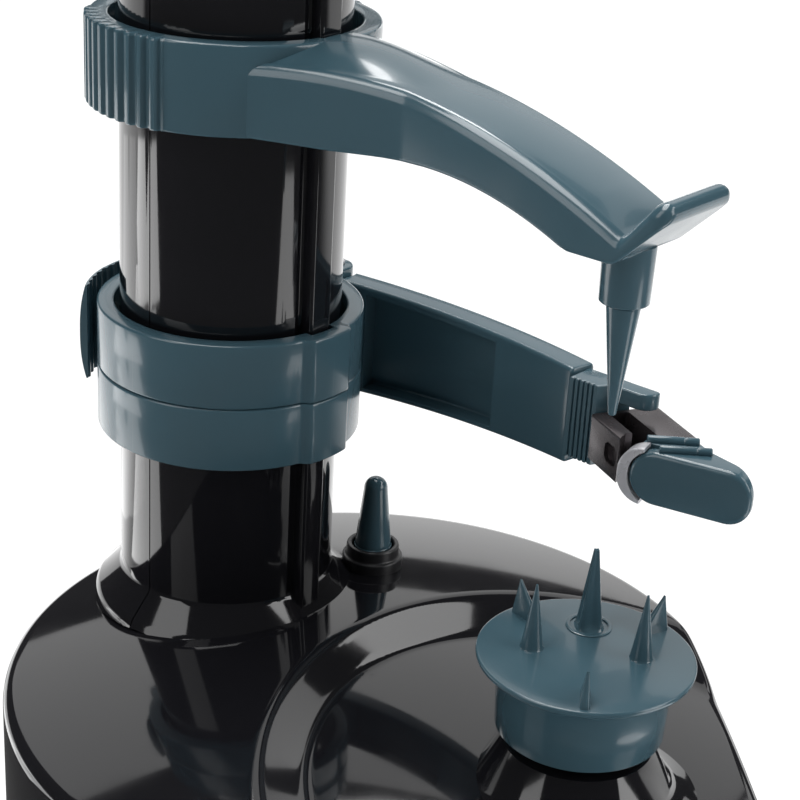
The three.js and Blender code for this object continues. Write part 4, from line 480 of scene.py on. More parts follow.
def add(tree: bpy.types.NodeTree, kind: str, values: dict, **settings: str) -> bpy.types.Node:
    """Adds a node.

    Args:
        tree: The nodes that it joins.
        kind: Type of the node.
        values: Each input's value, or the socket that feeds it.
        settings: Settings of the node itself.

    Returns:
        The new node.
    """
    node = tree.nodes.new(f"ShaderNode{kind}")
    for name, value in settings.items():
        setattr(node, name, value)
    fill(tree, node, values)
    return node


@dataclass(frozen=True)
class Finish:
    """A procedural finish: colour with slow variation, grain, uneven gloss and paler edges.

    Attributes:
        name: Name of the material.
        colour: Main colour.
        tint: Second colour that the first drifts to.
        edge_colour: Colour of rubbed edges.
        roughness: Lowest and highest roughness.
        metallic: 1 for bare metal.
        coat: Weight of the clear gloss coat.
        grain: Height of the fine bumps in millimetres.
        grain_scale: How close the bumps lie, per metre.
        edge_wear: How much of the edge colour shows.
        brushed: Stretch of the grain along X, for drawn metal.
        drift_scale: Scale of the slow variation, per metre.
        smudge_scale: Scale of the uneven gloss, per metre.
        bump: Strength of the fine bumps.
    """

    name: str
    colour: Colour
    tint: Colour
    edge_colour: Colour
    roughness: Flat
    metallic: float = 0.0
    coat: float = 0.0
    grain: float = 0.01
    grain_scale: float = 900.0
    edge_wear: float = 0.15
    brushed: float = 1.0
    drift_scale: float = 28.0
    smudge_scale: float = 75.0
    bump: float = 0.12

    def material(self) -> bpy.types.Material:
        """Builds the material once, or returns it if it is there."""
        ready = bpy.data.materials.get(self.name)
        if ready:
            return ready
        made = bpy.data.materials.new(self.name)
        made.use_nodes = True
        tree = made.node_tree
        place = add(tree, "TexCoord", {}).outputs["Object"]
        stretch = add(tree, "Mapping", {"Scale": (1.0 / self.brushed, 1.0, 1.0), "Vector": place})
        slow = self._noise(tree, place, self.drift_scale, 3.0)
        fine = self._noise(tree, stretch.outputs["Vector"], self.grain_scale, 2.0)
        smudge = self._noise(tree, place, self.smudge_scale, 4.0)
        drift = self._mix(tree, slow, (*self.colour, 1.0), self.tint)
        shape = add(tree, "NewGeometry", {})
        edges = add(tree, "MapRange", {"From Min": 0.53, "From Max": 0.66, "To Max": self.edge_wear,
                                       "Value": shape.outputs["Pointiness"]})
        gloss = add(tree, "MapRange", {"From Min": 0.35, "From Max": 0.7, "To Min": self.roughness[0],
                                       "To Max": self.roughness[1], "Value": smudge})
        bump = add(tree, "Bump", {"Strength": self.bump, "Distance": self.grain * MM, "Height": fine})
        fill(tree, tree.nodes["Principled BSDF"], {
            "Metallic": self.metallic, "Coat Weight": self.coat, "Coat Roughness": 0.04,
            "Base Color": self._mix(tree, edges.outputs["Result"], drift, self.edge_colour),
            "Roughness": gloss.outputs["Result"], "Normal": bump.outputs["Normal"]})
        return made

    @staticmethod
    def _noise(tree: bpy.types.NodeTree, place: bpy.types.NodeSocket, scale: float,
               detail: float) -> bpy.types.NodeSocket:
        """The output of a noise texture with a scale per metre."""
        return add(tree, "TexNoise", {"Scale": scale, "Detail": detail, "Vector": place}).outputs["Fac"]

    @staticmethod
    def _mix(tree: bpy.types.NodeTree, share: bpy.types.NodeSocket,
             first: bpy.types.NodeSocket | tuple[float, ...], second: Colour) -> bpy.types.NodeSocket:
        """The output of a mix of two colours, whose sockets only have numbers."""
        share_in, first_in, second_in, colour_out = 0, 6, 7, 2
        values = {share_in: share, first_in: first, second_in: (*second, 1.0)}
        return add(tree, "Mix", values, data_type="RGBA").outputs[colour_out]


TEAL = Finish("teal_plastic", (0.044, 0.092, 0.118), (0.051, 0.103, 0.131), (0.13, 0.2, 0.225),
              (0.17, 0.26), coat=0.3, grain=0.006, grain_scale=1400.0, edge_wear=0.22)
BLACK = Finish("black_gloss_plastic", (0.006, 0.006, 0.0075), (0.009, 0.009, 0.011), (0.03, 0.03, 0.034),
               (0.05, 0.1), coat=0.35, grain=0.003, grain_scale=600.0, edge_wear=0.2)
BLACK_SATIN = Finish("black_satin_plastic", (0.012, 0.012, 0.014), (0.018, 0.018, 0.02), (0.05, 0.05, 0.055),
                     (0.32, 0.45), grain=0.02, grain_scale=1500.0, edge_wear=0.2)
STEEL = Finish("drawn_steel", (0.56, 0.56, 0.58), (0.48, 0.48, 0.5), (0.75, 0.75, 0.77), (0.2, 0.34),
               metallic=1.0, grain=0.012, grain_scale=2200.0, brushed=14.0)
YOKE_METAL = Finish("burnished_metal", (0.075, 0.064, 0.068), (0.055, 0.047, 0.05), (0.3, 0.28, 0.29),
                    (0.2, 0.3), metallic=0.7, grain_scale=1800.0, brushed=9.0, edge_wear=0.5)
BLADE_METAL = Finish("ground_blade_steel", (0.60, 0.60, 0.63), (0.54, 0.54, 0.57), (0.8, 0.8, 0.82),
                     (0.25, 0.36), metallic=0.35, grain=0.008, grain_scale=2600.0, brushed=10.0)
BRASS = Finish("turned_brass", (0.62, 0.45, 0.2), (0.52, 0.37, 0.16), (0.8, 0.64, 0.36), (0.2, 0.34),
               metallic=1.0, grain_scale=1800.0, brushed=6.0)
NYLON = Finish("natural_nylon", (0.66, 0.63, 0.55), (0.6, 0.57, 0.49), (0.8, 0.78, 0.7), (0.38, 0.5),
               grain=0.012)
RUBBER = Finish("foot_rubber", (0.018, 0.018, 0.019), (0.026, 0.026, 0.027), (0.06, 0.06, 0.06), (0.6, 0.8),
                grain=0.04, grain_scale=1300.0)
SLEEVE = Finish("cell_sleeve", (0.05, 0.13, 0.3), (0.06, 0.16, 0.34), (0.2, 0.3, 0.45), (0.25, 0.35),
                metallic=0.2, coat=0.3)


def dress(piece: Piece, finish: Finish, body: str, nodes: Sequence[str] = ()) -> None:
    """Finishes a new piece and ties it to its body.

    Args:
        piece: The new piece.
        finish: Its finish.
        body: The body that it moves with.
        nodes: The solids that it stands for.
    """
    piece.data.materials.clear()
    piece.data.materials.append(finish.material())
    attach(piece, body)
    if nodes:
        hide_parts(*nodes)
    LOG.info("%s: %d faces, rides %s", piece.name, len(piece.data.polygons), body)


# Pieces


@dataclass
class BaseHousing:
    """The domed cover with its well and hub.

    Attributes:
        nose: Radius of the outline round the spindle.
        rim: Radius of the upper rim.
        middle: Where the rings of points over the top meet.
        rings: Number of those rings.
        well_depth: Depth of the well below the dome.
        well_turn: Softness of the well's edges, as a share of its band.
        floor: Radius of the well's floor, and where its middle lies along Y.
        lip: Radius of the well's upper edge, and where its middle lies along Y.
        foot: Side and lower edge, as depth from the outline and level.
        hub: Profile of the hub, as radius and height.
    """

    nose: float = 41.0
    rim: float = 2.2
    middle: Flat = (0.0, -10.0)
    rings: int = 110
    well_depth: float = 6.5
    well_turn: float = 0.16
    floor: Flat = (56.0, -57.0)
    lip: Flat = (74.0, -68.0)
    foot: tuple[Flat, ...] = (
        (0.0, 20.0), (0.0, 0.5), (0.15, 0.12), (0.5, 0.0), (2.0, 0.0), (2.2, 0.2), (2.2, 12.0))
    hub: tuple[Flat, ...] = (
        (5.9, 30.0), (5.9, 47.2), (6.4, 47.8), (14.6, 47.8), (15.3, 47.55), (15.6, 46.9), (19.4, 38.9),
        (20.6, 37.2), (22.6, 36.1), (25.6, 35.2), (25.6, 30.0))

    def outline(self) -> list[Flat]:
        """Points round the base, close together."""
        lean = math.degrees(math.asin((BASE_RADIUS - self.nose) / -SPINDLE[1]))
        big = arc(BASE_RADIUS, -lean, 180 + lean, 320)
        small = arc(self.nose, 180 + lean, 360 - lean, 90, SPINDLE)
        return big + self._straight(big[-1], small[0]) + small + self._straight(small[-1], big[0])

    @staticmethod
    def _straight(first: Flat, last: Flat, steps: int = 40) -> list[Flat]:
        """The points between two others, without the two."""
        return [tuple(Vector(first).lerp(Vector(last), i / steps)) for i in range(1, steps)]

    def level(self, x: float, y: float) -> float:
        """Height of the cover's top at a point, the well included."""
        inside = [radius - math.hypot(x, y - middle) for radius, middle in (self.floor, self.lip)]
        share = -inside[0] / (inside[1] - inside[0])
        return dome(x, y) - self.well_depth * (1.0 - ease(share, self.well_turn))

    def build(self) -> None:
        """Makes the cover and its hub as one piece."""
        edge = anticlockwise(self.outline())
        brim = inset(edge, self.rim)
        verts: list[Solid] = []
        for ring in range(1, self.rings):
            for point in brim:
                x, y = (blend(self.middle[k], point[k], ring / self.rings) for k in (0, 1))
                verts.append((x, y, self.level(x, y)))
        for a in quarter(5):
            for x, y in inset(edge, self.rim * (1 - math.sin(a))):
                verts.append((x, y, self.level(x, y) - self.rim * (1 - math.cos(a))))
        for depth, level in self.foot:
            verts += [(x, y, level) for x, y in inset(edge, depth)]
        count = len(edge)
        faces = bands(len(verts) // count, count)
        verts.append((*self.middle, self.level(*self.middle)))
        faces += [[i, (i + 1) % count, len(verts) - 1] for i in range(count)]
        shell = make("base_shell_surface", verts, faces)
        hub = turned("base_hub_surface", self.hub, SPINDLE, 160)
        dress(merge("base_shell", [shell, hub], 40.0), BLACK, "base", ["base_cover"])


@dataclass
class Column:
    """The column's two half shells and its cap.

    Attributes:
        radius: Outer radius.
        inner: Inner radius.
        levels: Lower and upper end of the shells.
        edge: Radius of the shells' rims.
        rail: Half width of the rail and its reach from the axis.
        groove: Outer half width of the grooves and the radius of their floor.
        groove_corner: Radius of the corners of rail and grooves.
        seam: Half of the gap between the shells.
        slot: Half width of the rear slot, and its lowest and highest level.
        slot_reach: Nearest and farthest reach of the slot's cutter.
        skirt: Radius of the skirt's foot.
        skirt_inner: Inner radius of the skirt.
        skirt_low: Lowest level of the skirt.
        skirt_side: Profile of the skirt's side, as radius and height.
        skirt_foot: Radius of each point on the dome, and its height above it.
        cap: Profile of the cap up to its roof, as radius and height.
        roof: Rise of the cap's roof.
    """

    radius: float = 24.0
    inner: float = 21.2
    levels: Flat = (48.4, 270.0)
    edge: float = 0.25
    rail: Flat = (3.0, 26.3)
    groove: Flat = (5.0, 23.0)
    groove_corner: float = 0.7
    seam: float = 0.16
    slot: Solid = (5.2, 72.0, 168.0)
    slot_reach: Flat = (15.0, 30.0)
    skirt: float = 30.0
    skirt_inner: float = 22.0
    skirt_low: float = 44.0
    skirt_side: tuple[Flat, ...] = (
        (23.9, 51.9), (24.15, 51.0), (24.5, 50.4), (28.9, 45.9), (29.5, 45.1), (29.8, 44.2))
    skirt_foot: tuple[Flat, ...] = ((29.95, 0.45), (29.6, 0.12), (22.0, 0.12))
    cap: tuple[Flat, ...] = (
        (0.0, 268.3), (5.9, 268.3), (5.9, 264.3), (20.9, 264.3), (20.9, 270.3), (27.0, 270.3),
        (27.45, 270.5), (27.6, 271.0), (27.6, 273.3))
    roof: float = 6.5

    def _skirt(self, name: str, span: Flat, sides: int = 120) -> Piece:
        """Half of the skirt, whose foot follows the dome.

        Args:
            name: Name of the piece.
            span: First and last angle in degrees.
            sides: Number of steps round it.

        Returns:
            The new object.
        """
        sections: list[list[Solid]] = []
        for i in range(sides + 1):
            turn = blend(*span, i / sides)
            row = [(*polar(r, turn, COLUMN), z) for r, z in self.skirt_side]
            for r, lift in self.skirt_foot:
                x, y = polar(r, turn, COLUMN)
                row.append((x, y, min(dome(x, y) + lift, self.skirt_low)))
            row.append((*polar(self.skirt_inner, turn, COLUMN), self.skirt_side[0][1]))
            sections.append(row)
        return loft(name, sections)

    def _wall(self, name: str, outline: list[Flat]) -> Piece:
        """A shell's upright wall from its outline round the axis."""
        return moved(slab(name, outline, *self.levels, self.edge), 0.0, COLUMN)

    def _front(self) -> Piece:
        """The front shell with its rail and grooves."""
        half, reach = self.rail
        wide, floor = self.groove
        turn = math.degrees(math.asin(wide / self.radius))
        end = math.degrees(math.asin(self.seam / self.radius))
        left = arc(self.radius, 180 + end, 270 - turn, 60)
        right = arc(self.radius, 270 + turn, 360 - end, 60)
        corners = [left[-1], (-wide, -floor), (-half, -floor), (-half, -reach),
                   (half, -reach), (half, -floor), (wide, -floor), right[0]]
        middle = soften(corners, self.groove_corner, 4, closed=False)
        back = arc(self.inner, 360 - end, 180 + end, 90)
        return self._wall("column_front_wall", left + middle[1:-1] + right + back)

    def _rear(self) -> Piece:
        """The rear shell with its slot."""
        end = math.degrees(math.asin(self.seam / self.radius))
        outline = arc(self.radius, end, 180 - end, 120) + arc(self.inner, 180 - end, end, 90)
        wall = self._wall("column_rear_wall", outline)
        half, low, high = self.slot
        near, far = self.slot_reach
        slot = box("slot", (-half, COLUMN[1] + near, low), (half, COLUMN[1] + far, high), 0.8)
        combine(wall, [slot], "DIFFERENCE")
        return wall

    def build(self) -> None:
        """Makes both shells and the cap."""
        end = math.degrees(math.asin(self.seam / self.skirt))
        front = [self._front(), self._skirt("front_skirt", (180 + end, 360 - end))]
        rear = [self._rear(), self._skirt("rear_skirt", (end, 180 - end))]
        for side, walls in (("front", front), ("rear", rear)):
            shell = merge(f"column_{side}_shell", walls, CREASE)
            dress(shell, BLACK, "base", [f"column_{side}"])
        radius, level = self.cap[-1]
        roof = [(radius * math.cos(a), level + self.roof * math.sin(a)) for a in quarter(18)[1:-1]]
        profile = [*self.cap, *roof, (0.0, level + self.roof)]
        cap = turned("column_cap_shell", profile, COLUMN, 160, crease=40.0)
        dress(cap, BLACK, "base", ["column_cap"])


@dataclass(frozen=True)
class Arch:
    """A line in Y and Z: points of the tab, then a parabola, then points that reach the ring.

    Attributes:
        tab: Points from the tab's tip.
        summit: Highest point of the parabola.
        bend: The parabola falls by the square of the distance over this.
        span: First and last Y of the parabola.
        root: Points that reach the ring.
        corner: Radius of the line's corners.
        steps: Intervals in the parabola.
    """

    tab: tuple[Flat, ...]
    summit: Flat
    bend: float
    span: Flat
    root: tuple[Flat, ...]
    corner: float
    steps: int

    def line(self) -> list[Flat]:
        """The line's points in rising Y."""
        rows = [blend(*self.span, i / self.steps) for i in range(self.steps + 1)]
        curve = [(y, self.summit[1] - (y - self.summit[0]) ** 2 / self.bend) for y in rows]
        return soften([*self.tab, *curve, *self.root], self.corner, 6, closed=False)


def height_at(line: Sequence[Flat], y: float) -> float:
    """Height of a line at Y.

    Args:
        line: Points in rising Y.
        y: Where to read it.

    Returns:
        The height between the two points beside Y.
    """
    for (y0, z0), (y1, z1) in zip(line, line[1:]):
        if y0 <= y <= y1:
            return z0 if y1 - y0 < TINY else blend(z0, z1, (y - y0) / (y1 - y0))
    return line[-1][1] if y > line[-1][0] else line[0][1]


@dataclass
class TopArm:
    """The sliding arm above the turntable, and the free pin in its boss.

    Attributes:
        low: Underside of the ring.
        high: Top of the ring.
        bore: Inner radius of the ring.
        radius: Outer radius of the ring.
        grip: Outer radius at the ribbed grips.
        grips: First and last angle of the ribbed grip on the left.
        ribs: Number of ribs.
        rib_depth: Depth of the grooves between them.
        run_out: Fall of the grip's ends, per degree.
        half_width: Half of the arm's width.
        root_half: Half of the width where the arm meets the ring.
        flare: Y where the widening starts and ends.
        flare_power: How late the widening comes.
        edge: Radius of the arm's lower edges.
        shoulder: Radius of the arm's upper edges.
        corner: Radius of the tab's corners, seen from above.
        camber: Rise of the arm's middle above its edges.
        camber_start: Y where that rise starts and where it is whole.
        swell: Further rise of the middle at the ring.
        swell_span: Y where that starts and ends.
        end: Y where the arm ends inside the ring.
        crest: The arm's upper line.
        belly: The arm's lower line.
        hollow: Roof of the hollow under the arm, in Y and Z.
        hollow_low: Level that the hollow's cutter reaches down to.
        hollow_wall: Wall beside the hollow.
        boss: Profile of the boss, as radius and height.
        socket: Radius, lower and upper level of the boss's bore.
        pin: Profile of the pin, as radius and height.
    """

    low: float = 158.0
    high: float = 176.3
    bore: float = 26.0
    radius: float = 30.0
    grip: float = 30.9
    grips: Flat = (132.0, 196.0)
    ribs: int = 11
    rib_depth: float = 0.95
    run_out: float = 0.9
    half_width: float = 11.0
    root_half: float = 19.8
    flare: Flat = (-9.3, 22.06)
    flare_power: float = 1.2
    edge: float = 0.9
    shoulder: float = 2.8
    corner: float = 2.6
    camber: float = 0.55
    camber_start: Flat = (-62.0, -50.0)
    swell: float = 3.1
    swell_span: Flat = (-14.0, 16.0)
    end: float = 23.5
    crest: Arch = Arch(
        ((-68.3, 162.6), (-67.9, 163.8), (-66.6, 164.4), (-65.0, 163.9)), (9.0, 173.3), 272.0,
        (-58.8, 13.2), ((17.0, 173.1), (25.0, 172.6)), 2.2, 60)
    belly: Arch = Arch(
        ((-68.3, 162.2), (-67.9, 161.0), (-57.9, 151.2), (-48.2, 151.2)), (-14.0, 159.0), 144.0,
        (-46.5, -14.5), ((-5.0, 158.8), (6.0, 158.2), (25.0, 158.0)), 3.0, 40)
    hollow: tuple[Flat, ...] = ((11.0, 171.2), (0.0, 171.0), (-10.0, 170.0), (-20.0, 168.4), (-30.0, 166.0),
                                (-40.0, 162.6), (-44.5, 160.4))
    hollow_low: float = 140.0
    hollow_wall: float = 2.4
    boss: tuple[Flat, ...] = ((0.0, 141.0), (4.7, 141.0), (4.95, 152.5), (0.0, 152.5))
    socket: Solid = (2.5, 139.0, 150.0)
    pin: tuple[Flat, ...] = (
        (0.0, 118.4), (0.75, 118.65), (3.2, 140.1), (3.2, 140.6), (2.2, 140.6), (2.2, 152.0), (0.0, 152.0))

    def _outer(self, angle: float) -> float:
        """Outer radius of the ring at an angle, ribs included."""
        turn = angle if 90 <= angle <= 270 else (180 - angle) % 360
        start, end = self.grips
        if not start <= turn <= end:
            near = min(abs(turn - start), abs(turn - end))
            return max(self.radius, self.grip - near * self.run_out)
        share = (turn - start) * self.ribs / (end - start)
        return self.grip - self.rib_depth * (1.0 - rib(share, 0.6))

    def _half_at(self, y: float) -> float:
        """Half of the arm's width at Y: even, then widening to meet the ring."""
        share = max(0.0, (y - self.flare[0]) / (self.flare[1] - self.flare[0]))
        short = max(0.0, self.corner - (y - self.crest.tab[0][0]))
        rounding = self.corner - math.sqrt(max(0.0, self.corner ** 2 - short ** 2))
        return blend(self.half_width, self.root_half, min(share, 1.05) ** self.flare_power) - rounding

    def _rise_at(self, y: float) -> float:
        """How far the arm's middle stands above its edges at Y."""
        share = hold((y - self.swell_span[0]) / (self.swell_span[1] - self.swell_span[0]))
        start, whole = self.camber_start
        camber = self.camber * hold((y - start) / (whole - start))
        return camber + self.swell * share * share * (3 - 2 * share)

    def _beam(self) -> Piece:
        """The arm as sections along Y, with a crowned top that rises to the ring."""
        crest, belly = self.crest.line(), self.belly.line()
        start, rows, across = crest[0][0], 150, 24
        places = {blend(start, self.end, i / rows) for i in range(rows + 1)}
        places |= {start + ahead for ahead in (0.05, 0.15, 0.3, 0.7, 1.2)}
        bend = [(math.sin(a), math.cos(a)) for a in quarter(10)]
        sections: list[list[Solid]] = []
        for y in sorted(places):
            top, low = height_at(crest, y), height_at(belly, y)
            half, rise = self._half_at(y), self._rise_at(y)
            thick = max(0.1, top - low)
            e, s = min(self.edge, 0.25 * thick), min(self.shoulder, 0.6 * thick)
            ring: list[Flat] = [(half - s + s * cos, top - s + s * sin) for sin, cos in bend]
            for share in (1 - 2 * i / across for i in range(1, across)):
                ring.append(((half - s) * share, top + rise * (1 - share ** 2)))
            ring += [(-half + s - s * sin, top - s + s * cos) for sin, cos in bend]
            ring += [(-half + e - e * cos, low + e - e * sin) for sin, cos in bend]
            ring += [(half - e + e * sin, low + e - e * cos) for sin, cos in bend]
            sections.append([(x, y, z) for x, z in ring])
        return loft("beam", sections, 34.0)

    def _hollow(self) -> Piece:
        """The cutter for the hollow under the arm."""
        outline = [*self.hollow, (self.hollow[-1][0], self.hollow_low), (self.hollow[0][0], self.hollow_low)]
        half = self.half_width - self.hollow_wall
        return slab("pocket", soften(outline, 1.5), -half, half, 0.8, Lie.SIDE)

    def build(self) -> None:
        """Makes the arm and the pin."""
        ring = polar_ring("top_arm_shell", self.low, self.high, rail_bore(self.bore), self._outer, 0.6)
        beam = self._beam()
        clear = drum("clear", self.bore + 2.0, self.hollow_low, 200.0, COLUMN, 160)
        boss = soft_turned("boss", self.boss, 0.35, SPINDLE, 96)
        combine(beam, [self._hollow(), clear], "DIFFERENCE")
        combine(ring, [beam, boss], "UNION", 30.0)
        combine(ring, [drum("hole", *self.socket, SPINDLE, 48)], "DIFFERENCE", 30.0)
        dress(ring, TEAL, "top_arm", ["top_arm"])
        pin = soft_turned("top_pin_shell", self.pin, 0.3, SPINDLE, 64)
        dress(pin, TEAL, "top_pin", ["top_pin"])


@dataclass
class Carriage:
    """The two ring halves that climb the column.

    Attributes:
        low: Underside of the lower ring.
        split: Level where the halves meet.
        seam: Half of the gap between them.
        high: Top of the upper ring.
        bore: Inner radius.
        radius: Outer radius.
        bump: Half width of the boss over the rail, and its reach.
        bump_side: Width over which the boss's sides rise.
        guide: Half width, nearest and farthest reach of the nut's guide.
        guide_levels: Lowest and highest level of the guide.
        room: Half width, nearest and farthest reach of the nut's room.
        room_levels: Lowest and highest level of that room.
        lug: Radius of the lugs round their pivots.
        lever_lugs: Upper level of the lower lug and lower level of the upper lug of the lever.
        arm_lugs: The same of the blade arm.
    """

    low: float = 86.0
    split: float = 100.0
    seam: float = 0.05
    high: float = 114.2
    bore: float = 25.2
    radius: float = 28.9
    bump: Flat = (6.5, 30.4)
    bump_side: float = 1.6
    guide: Solid = (7.0, 26.5, 32.4)
    guide_levels: Flat = (91.0, 110.0)
    room: Solid = (4.8, 10.0, 40.0)
    room_levels: Flat = (95.7, 104.9)
    lug: float = 4.2
    lever_lugs: Flat = (90.7, 110.3)
    arm_lugs: Flat = (92.6, 107.6)

    def _outer(self, angle: float) -> float:
        """Outer radius of the ring at an angle, the boss over the rail included."""
        half, reach = self.bump
        if angle < 180:
            return self.radius
        inside = half - abs(reach * math.cos(math.radians(angle)))
        return blend(self.radius, reach, ease(inside / self.bump_side + 0.5, RIB_SOFTNESS))

    @staticmethod
    def _behind(name: str, place: Solid, levels: Flat, edge: float) -> Piece:
        """A box behind the column's axis, from its half width and its two reaches."""
        half, near, far = place
        return box(name, (-half, COLUMN[1] + near, levels[0]), (half, COLUMN[1] + far, levels[1]), edge)

    def _lug(self, pivot: Flat, low: float, high: float) -> Piece:
        """A lug that reaches from the ring to a pivot, with the pin's hole.

        Args:
            pivot: Where the pivot stands.
            low: Lower level.
            high: Upper level.

        Returns:
            The new object.
        """
        across, behind = pivot[0] - COLUMN[0], pivot[1] - COLUMN[1]
        end = arc(self.lug, -90, 90, 24, (math.hypot(across, behind), 0.0))
        lug = slab("lug", [(RAIL_ROOM, -self.lug), *end, (RAIL_ROOM, self.lug)], low, high, 0.5)
        moved(lug, math.degrees(math.atan2(behind, across)), COLUMN)
        combine(lug, [drum("bore", PIN_HOLE, low - 2, high + 2, pivot, 32)], "DIFFERENCE")
        return lug

    def _half(self, name: str, low: float, high: float, lugs: Sequence[tuple[Flat, float, float]]) -> Piece:
        """One half of the carriage.

        Args:
            name: Name of the piece.
            low: Lower level.
            high: Upper level.
            lugs: Pivot, lower and upper level of each lug.

        Returns:
            The new object.
        """
        ring = polar_ring(name, low, high, rail_bore(self.bore), self._outer, 0.55)
        levels = (max(low, self.guide_levels[0]), min(high, self.guide_levels[1]))
        guide = self._behind("guide", self.guide, levels, 0.5)
        combine(ring, [guide, *(self._lug(*lug) for lug in lugs)], "UNION")
        combine(ring, [self._behind("room", self.room, self.room_levels, 0.2)], "DIFFERENCE")
        return ring

    def build(self) -> None:
        """Makes both halves."""
        pivots = ((LEVER_PIVOT, self.lever_lugs), (ARM_PIVOT, self.arm_lugs))
        lower = self._half("carriage_lower_shell", self.low, self.split - self.seam,
                           [(pivot, self.low, gap[0]) for pivot, gap in pivots])
        upper = self._half("carriage_upper_shell", self.split + self.seam, self.high,
                           [(pivot, gap[1], self.high) for pivot, gap in pivots])
        dress(lower, TEAL, "carriage", ["carriage_lower"])
        dress(upper, TEAL, "carriage", ["carriage_upper"])


@dataclass
class ReleaseLever:
    """The lever behind the column, with its ribbed tail.

    Attributes:
        outer: Outer radius of the tail.
        inner: Inner radius of the tail.
        swell: Middle level and half height of the tail's curved outside.
        fall: How far the outside falls in at its upper and lower end.
        pitch: Angle between the ribs.
        groove: Depth of the grooves.
        tail: First and last angle, then lower and upper level, of the tail.
        crown: The same of the part that reaches over the guide.
        levels: Lower and upper level of the fork.
        side: X of the fork's end.
        back: Reach of the fork's rear from the column's axis.
        start: Reach of the neck's start.
        barrel: Radius of the barrel round the pin.
        mouth: Half width of the fork's mouth, and its lowest level.
    """

    outer: float = 32.9
    inner: float = 31.25
    swell: Flat = (104.6, 10.9)
    fall: float = 1.3
    pitch: float = 41.0 / 8
    groove: float = 0.4
    tail: tuple[float, float, float, float] = (108.0, 131.0, 93.7, 115.5)
    crown: tuple[float, float, float, float] = (90.1, 109.0, 110.5, 115.4)
    levels: Flat = (91.0, 110.0)
    side: float = -7.4
    back: float = 35.6
    start: float = 30.3
    barrel: float = 3.2
    mouth: Flat = (3.3, 97.6)

    def _ribbed(self, name: str, start: float, end: float, low: float, high: float) -> Piece:
        """A curved stretch with upright ribs on the side of the column.

        Args:
            name: Name of the piece.
            start: First angle in degrees.
            end: Last angle.
            low: Lower level.
            high: Upper level.

        Returns:
            The new object.
        """
        rows, steps = 32, 120
        sections: list[list[Solid]] = []
        for k in range(rows + 1):
            z = blend(low, high, k / rows)
            fall = self.fall * abs((z - self.swell[0]) / self.swell[1]) ** 2.5
            ring = arc(self.outer - fall, start, end, 60, COLUMN)
            for i in range(steps + 1):
                turn = blend(end, start, i / steps)
                reach = self.inner - self.groove * rib((turn - 90.0) / self.pitch, 0.8)
                ring.append(polar(reach, turn, COLUMN))
            sections.append([(x, y, z) for x, y in ring])
        return loft(name, sections, 38.0)

    def build(self) -> None:
        """Makes the tail, the neck, the barrel and the fork as one piece."""
        low, high = self.levels
        start, back, side = COLUMN[1] + self.start, COLUMN[1] + self.back, self.side
        tail = self._ribbed("release_lever_shell", *self.tail)
        crown = self._ribbed("crown", *self.crown)
        plan = [(side - 4.3, start), (side - 2.6, start + 2.6), (side - 0.4, back), (side, back),
                (side, start)]
        neck = slab("neck", plan, low, high, 0.15)
        rim = [(0.0, low), (self.barrel, low), (self.barrel, high), (0.0, high)]
        barrel = soft_turned("barrel", rim, 0.5, LEVER_PIVOT, 64)
        fork = box("fork", (side - 0.2, back - 2.2, low), (LEVER_PIVOT[0], back - 0.02, high), 0.3)
        half, sill = self.mouth
        mouth = box("mouth", (-half, back - 5.0, sill), (half, back + 3.0, high + 3.0), 0.2)
        hole = drum("pin_hole", PIN_HOLE, low - 3.0, high + 3.0, LEVER_PIVOT, 32)
        combine(tail, [crown, neck, barrel, fork], "UNION")
        combine(tail, [mouth, hole], "DIFFERENCE")
        dress(tail, TEAL, "release_lever", ["release_lever"])


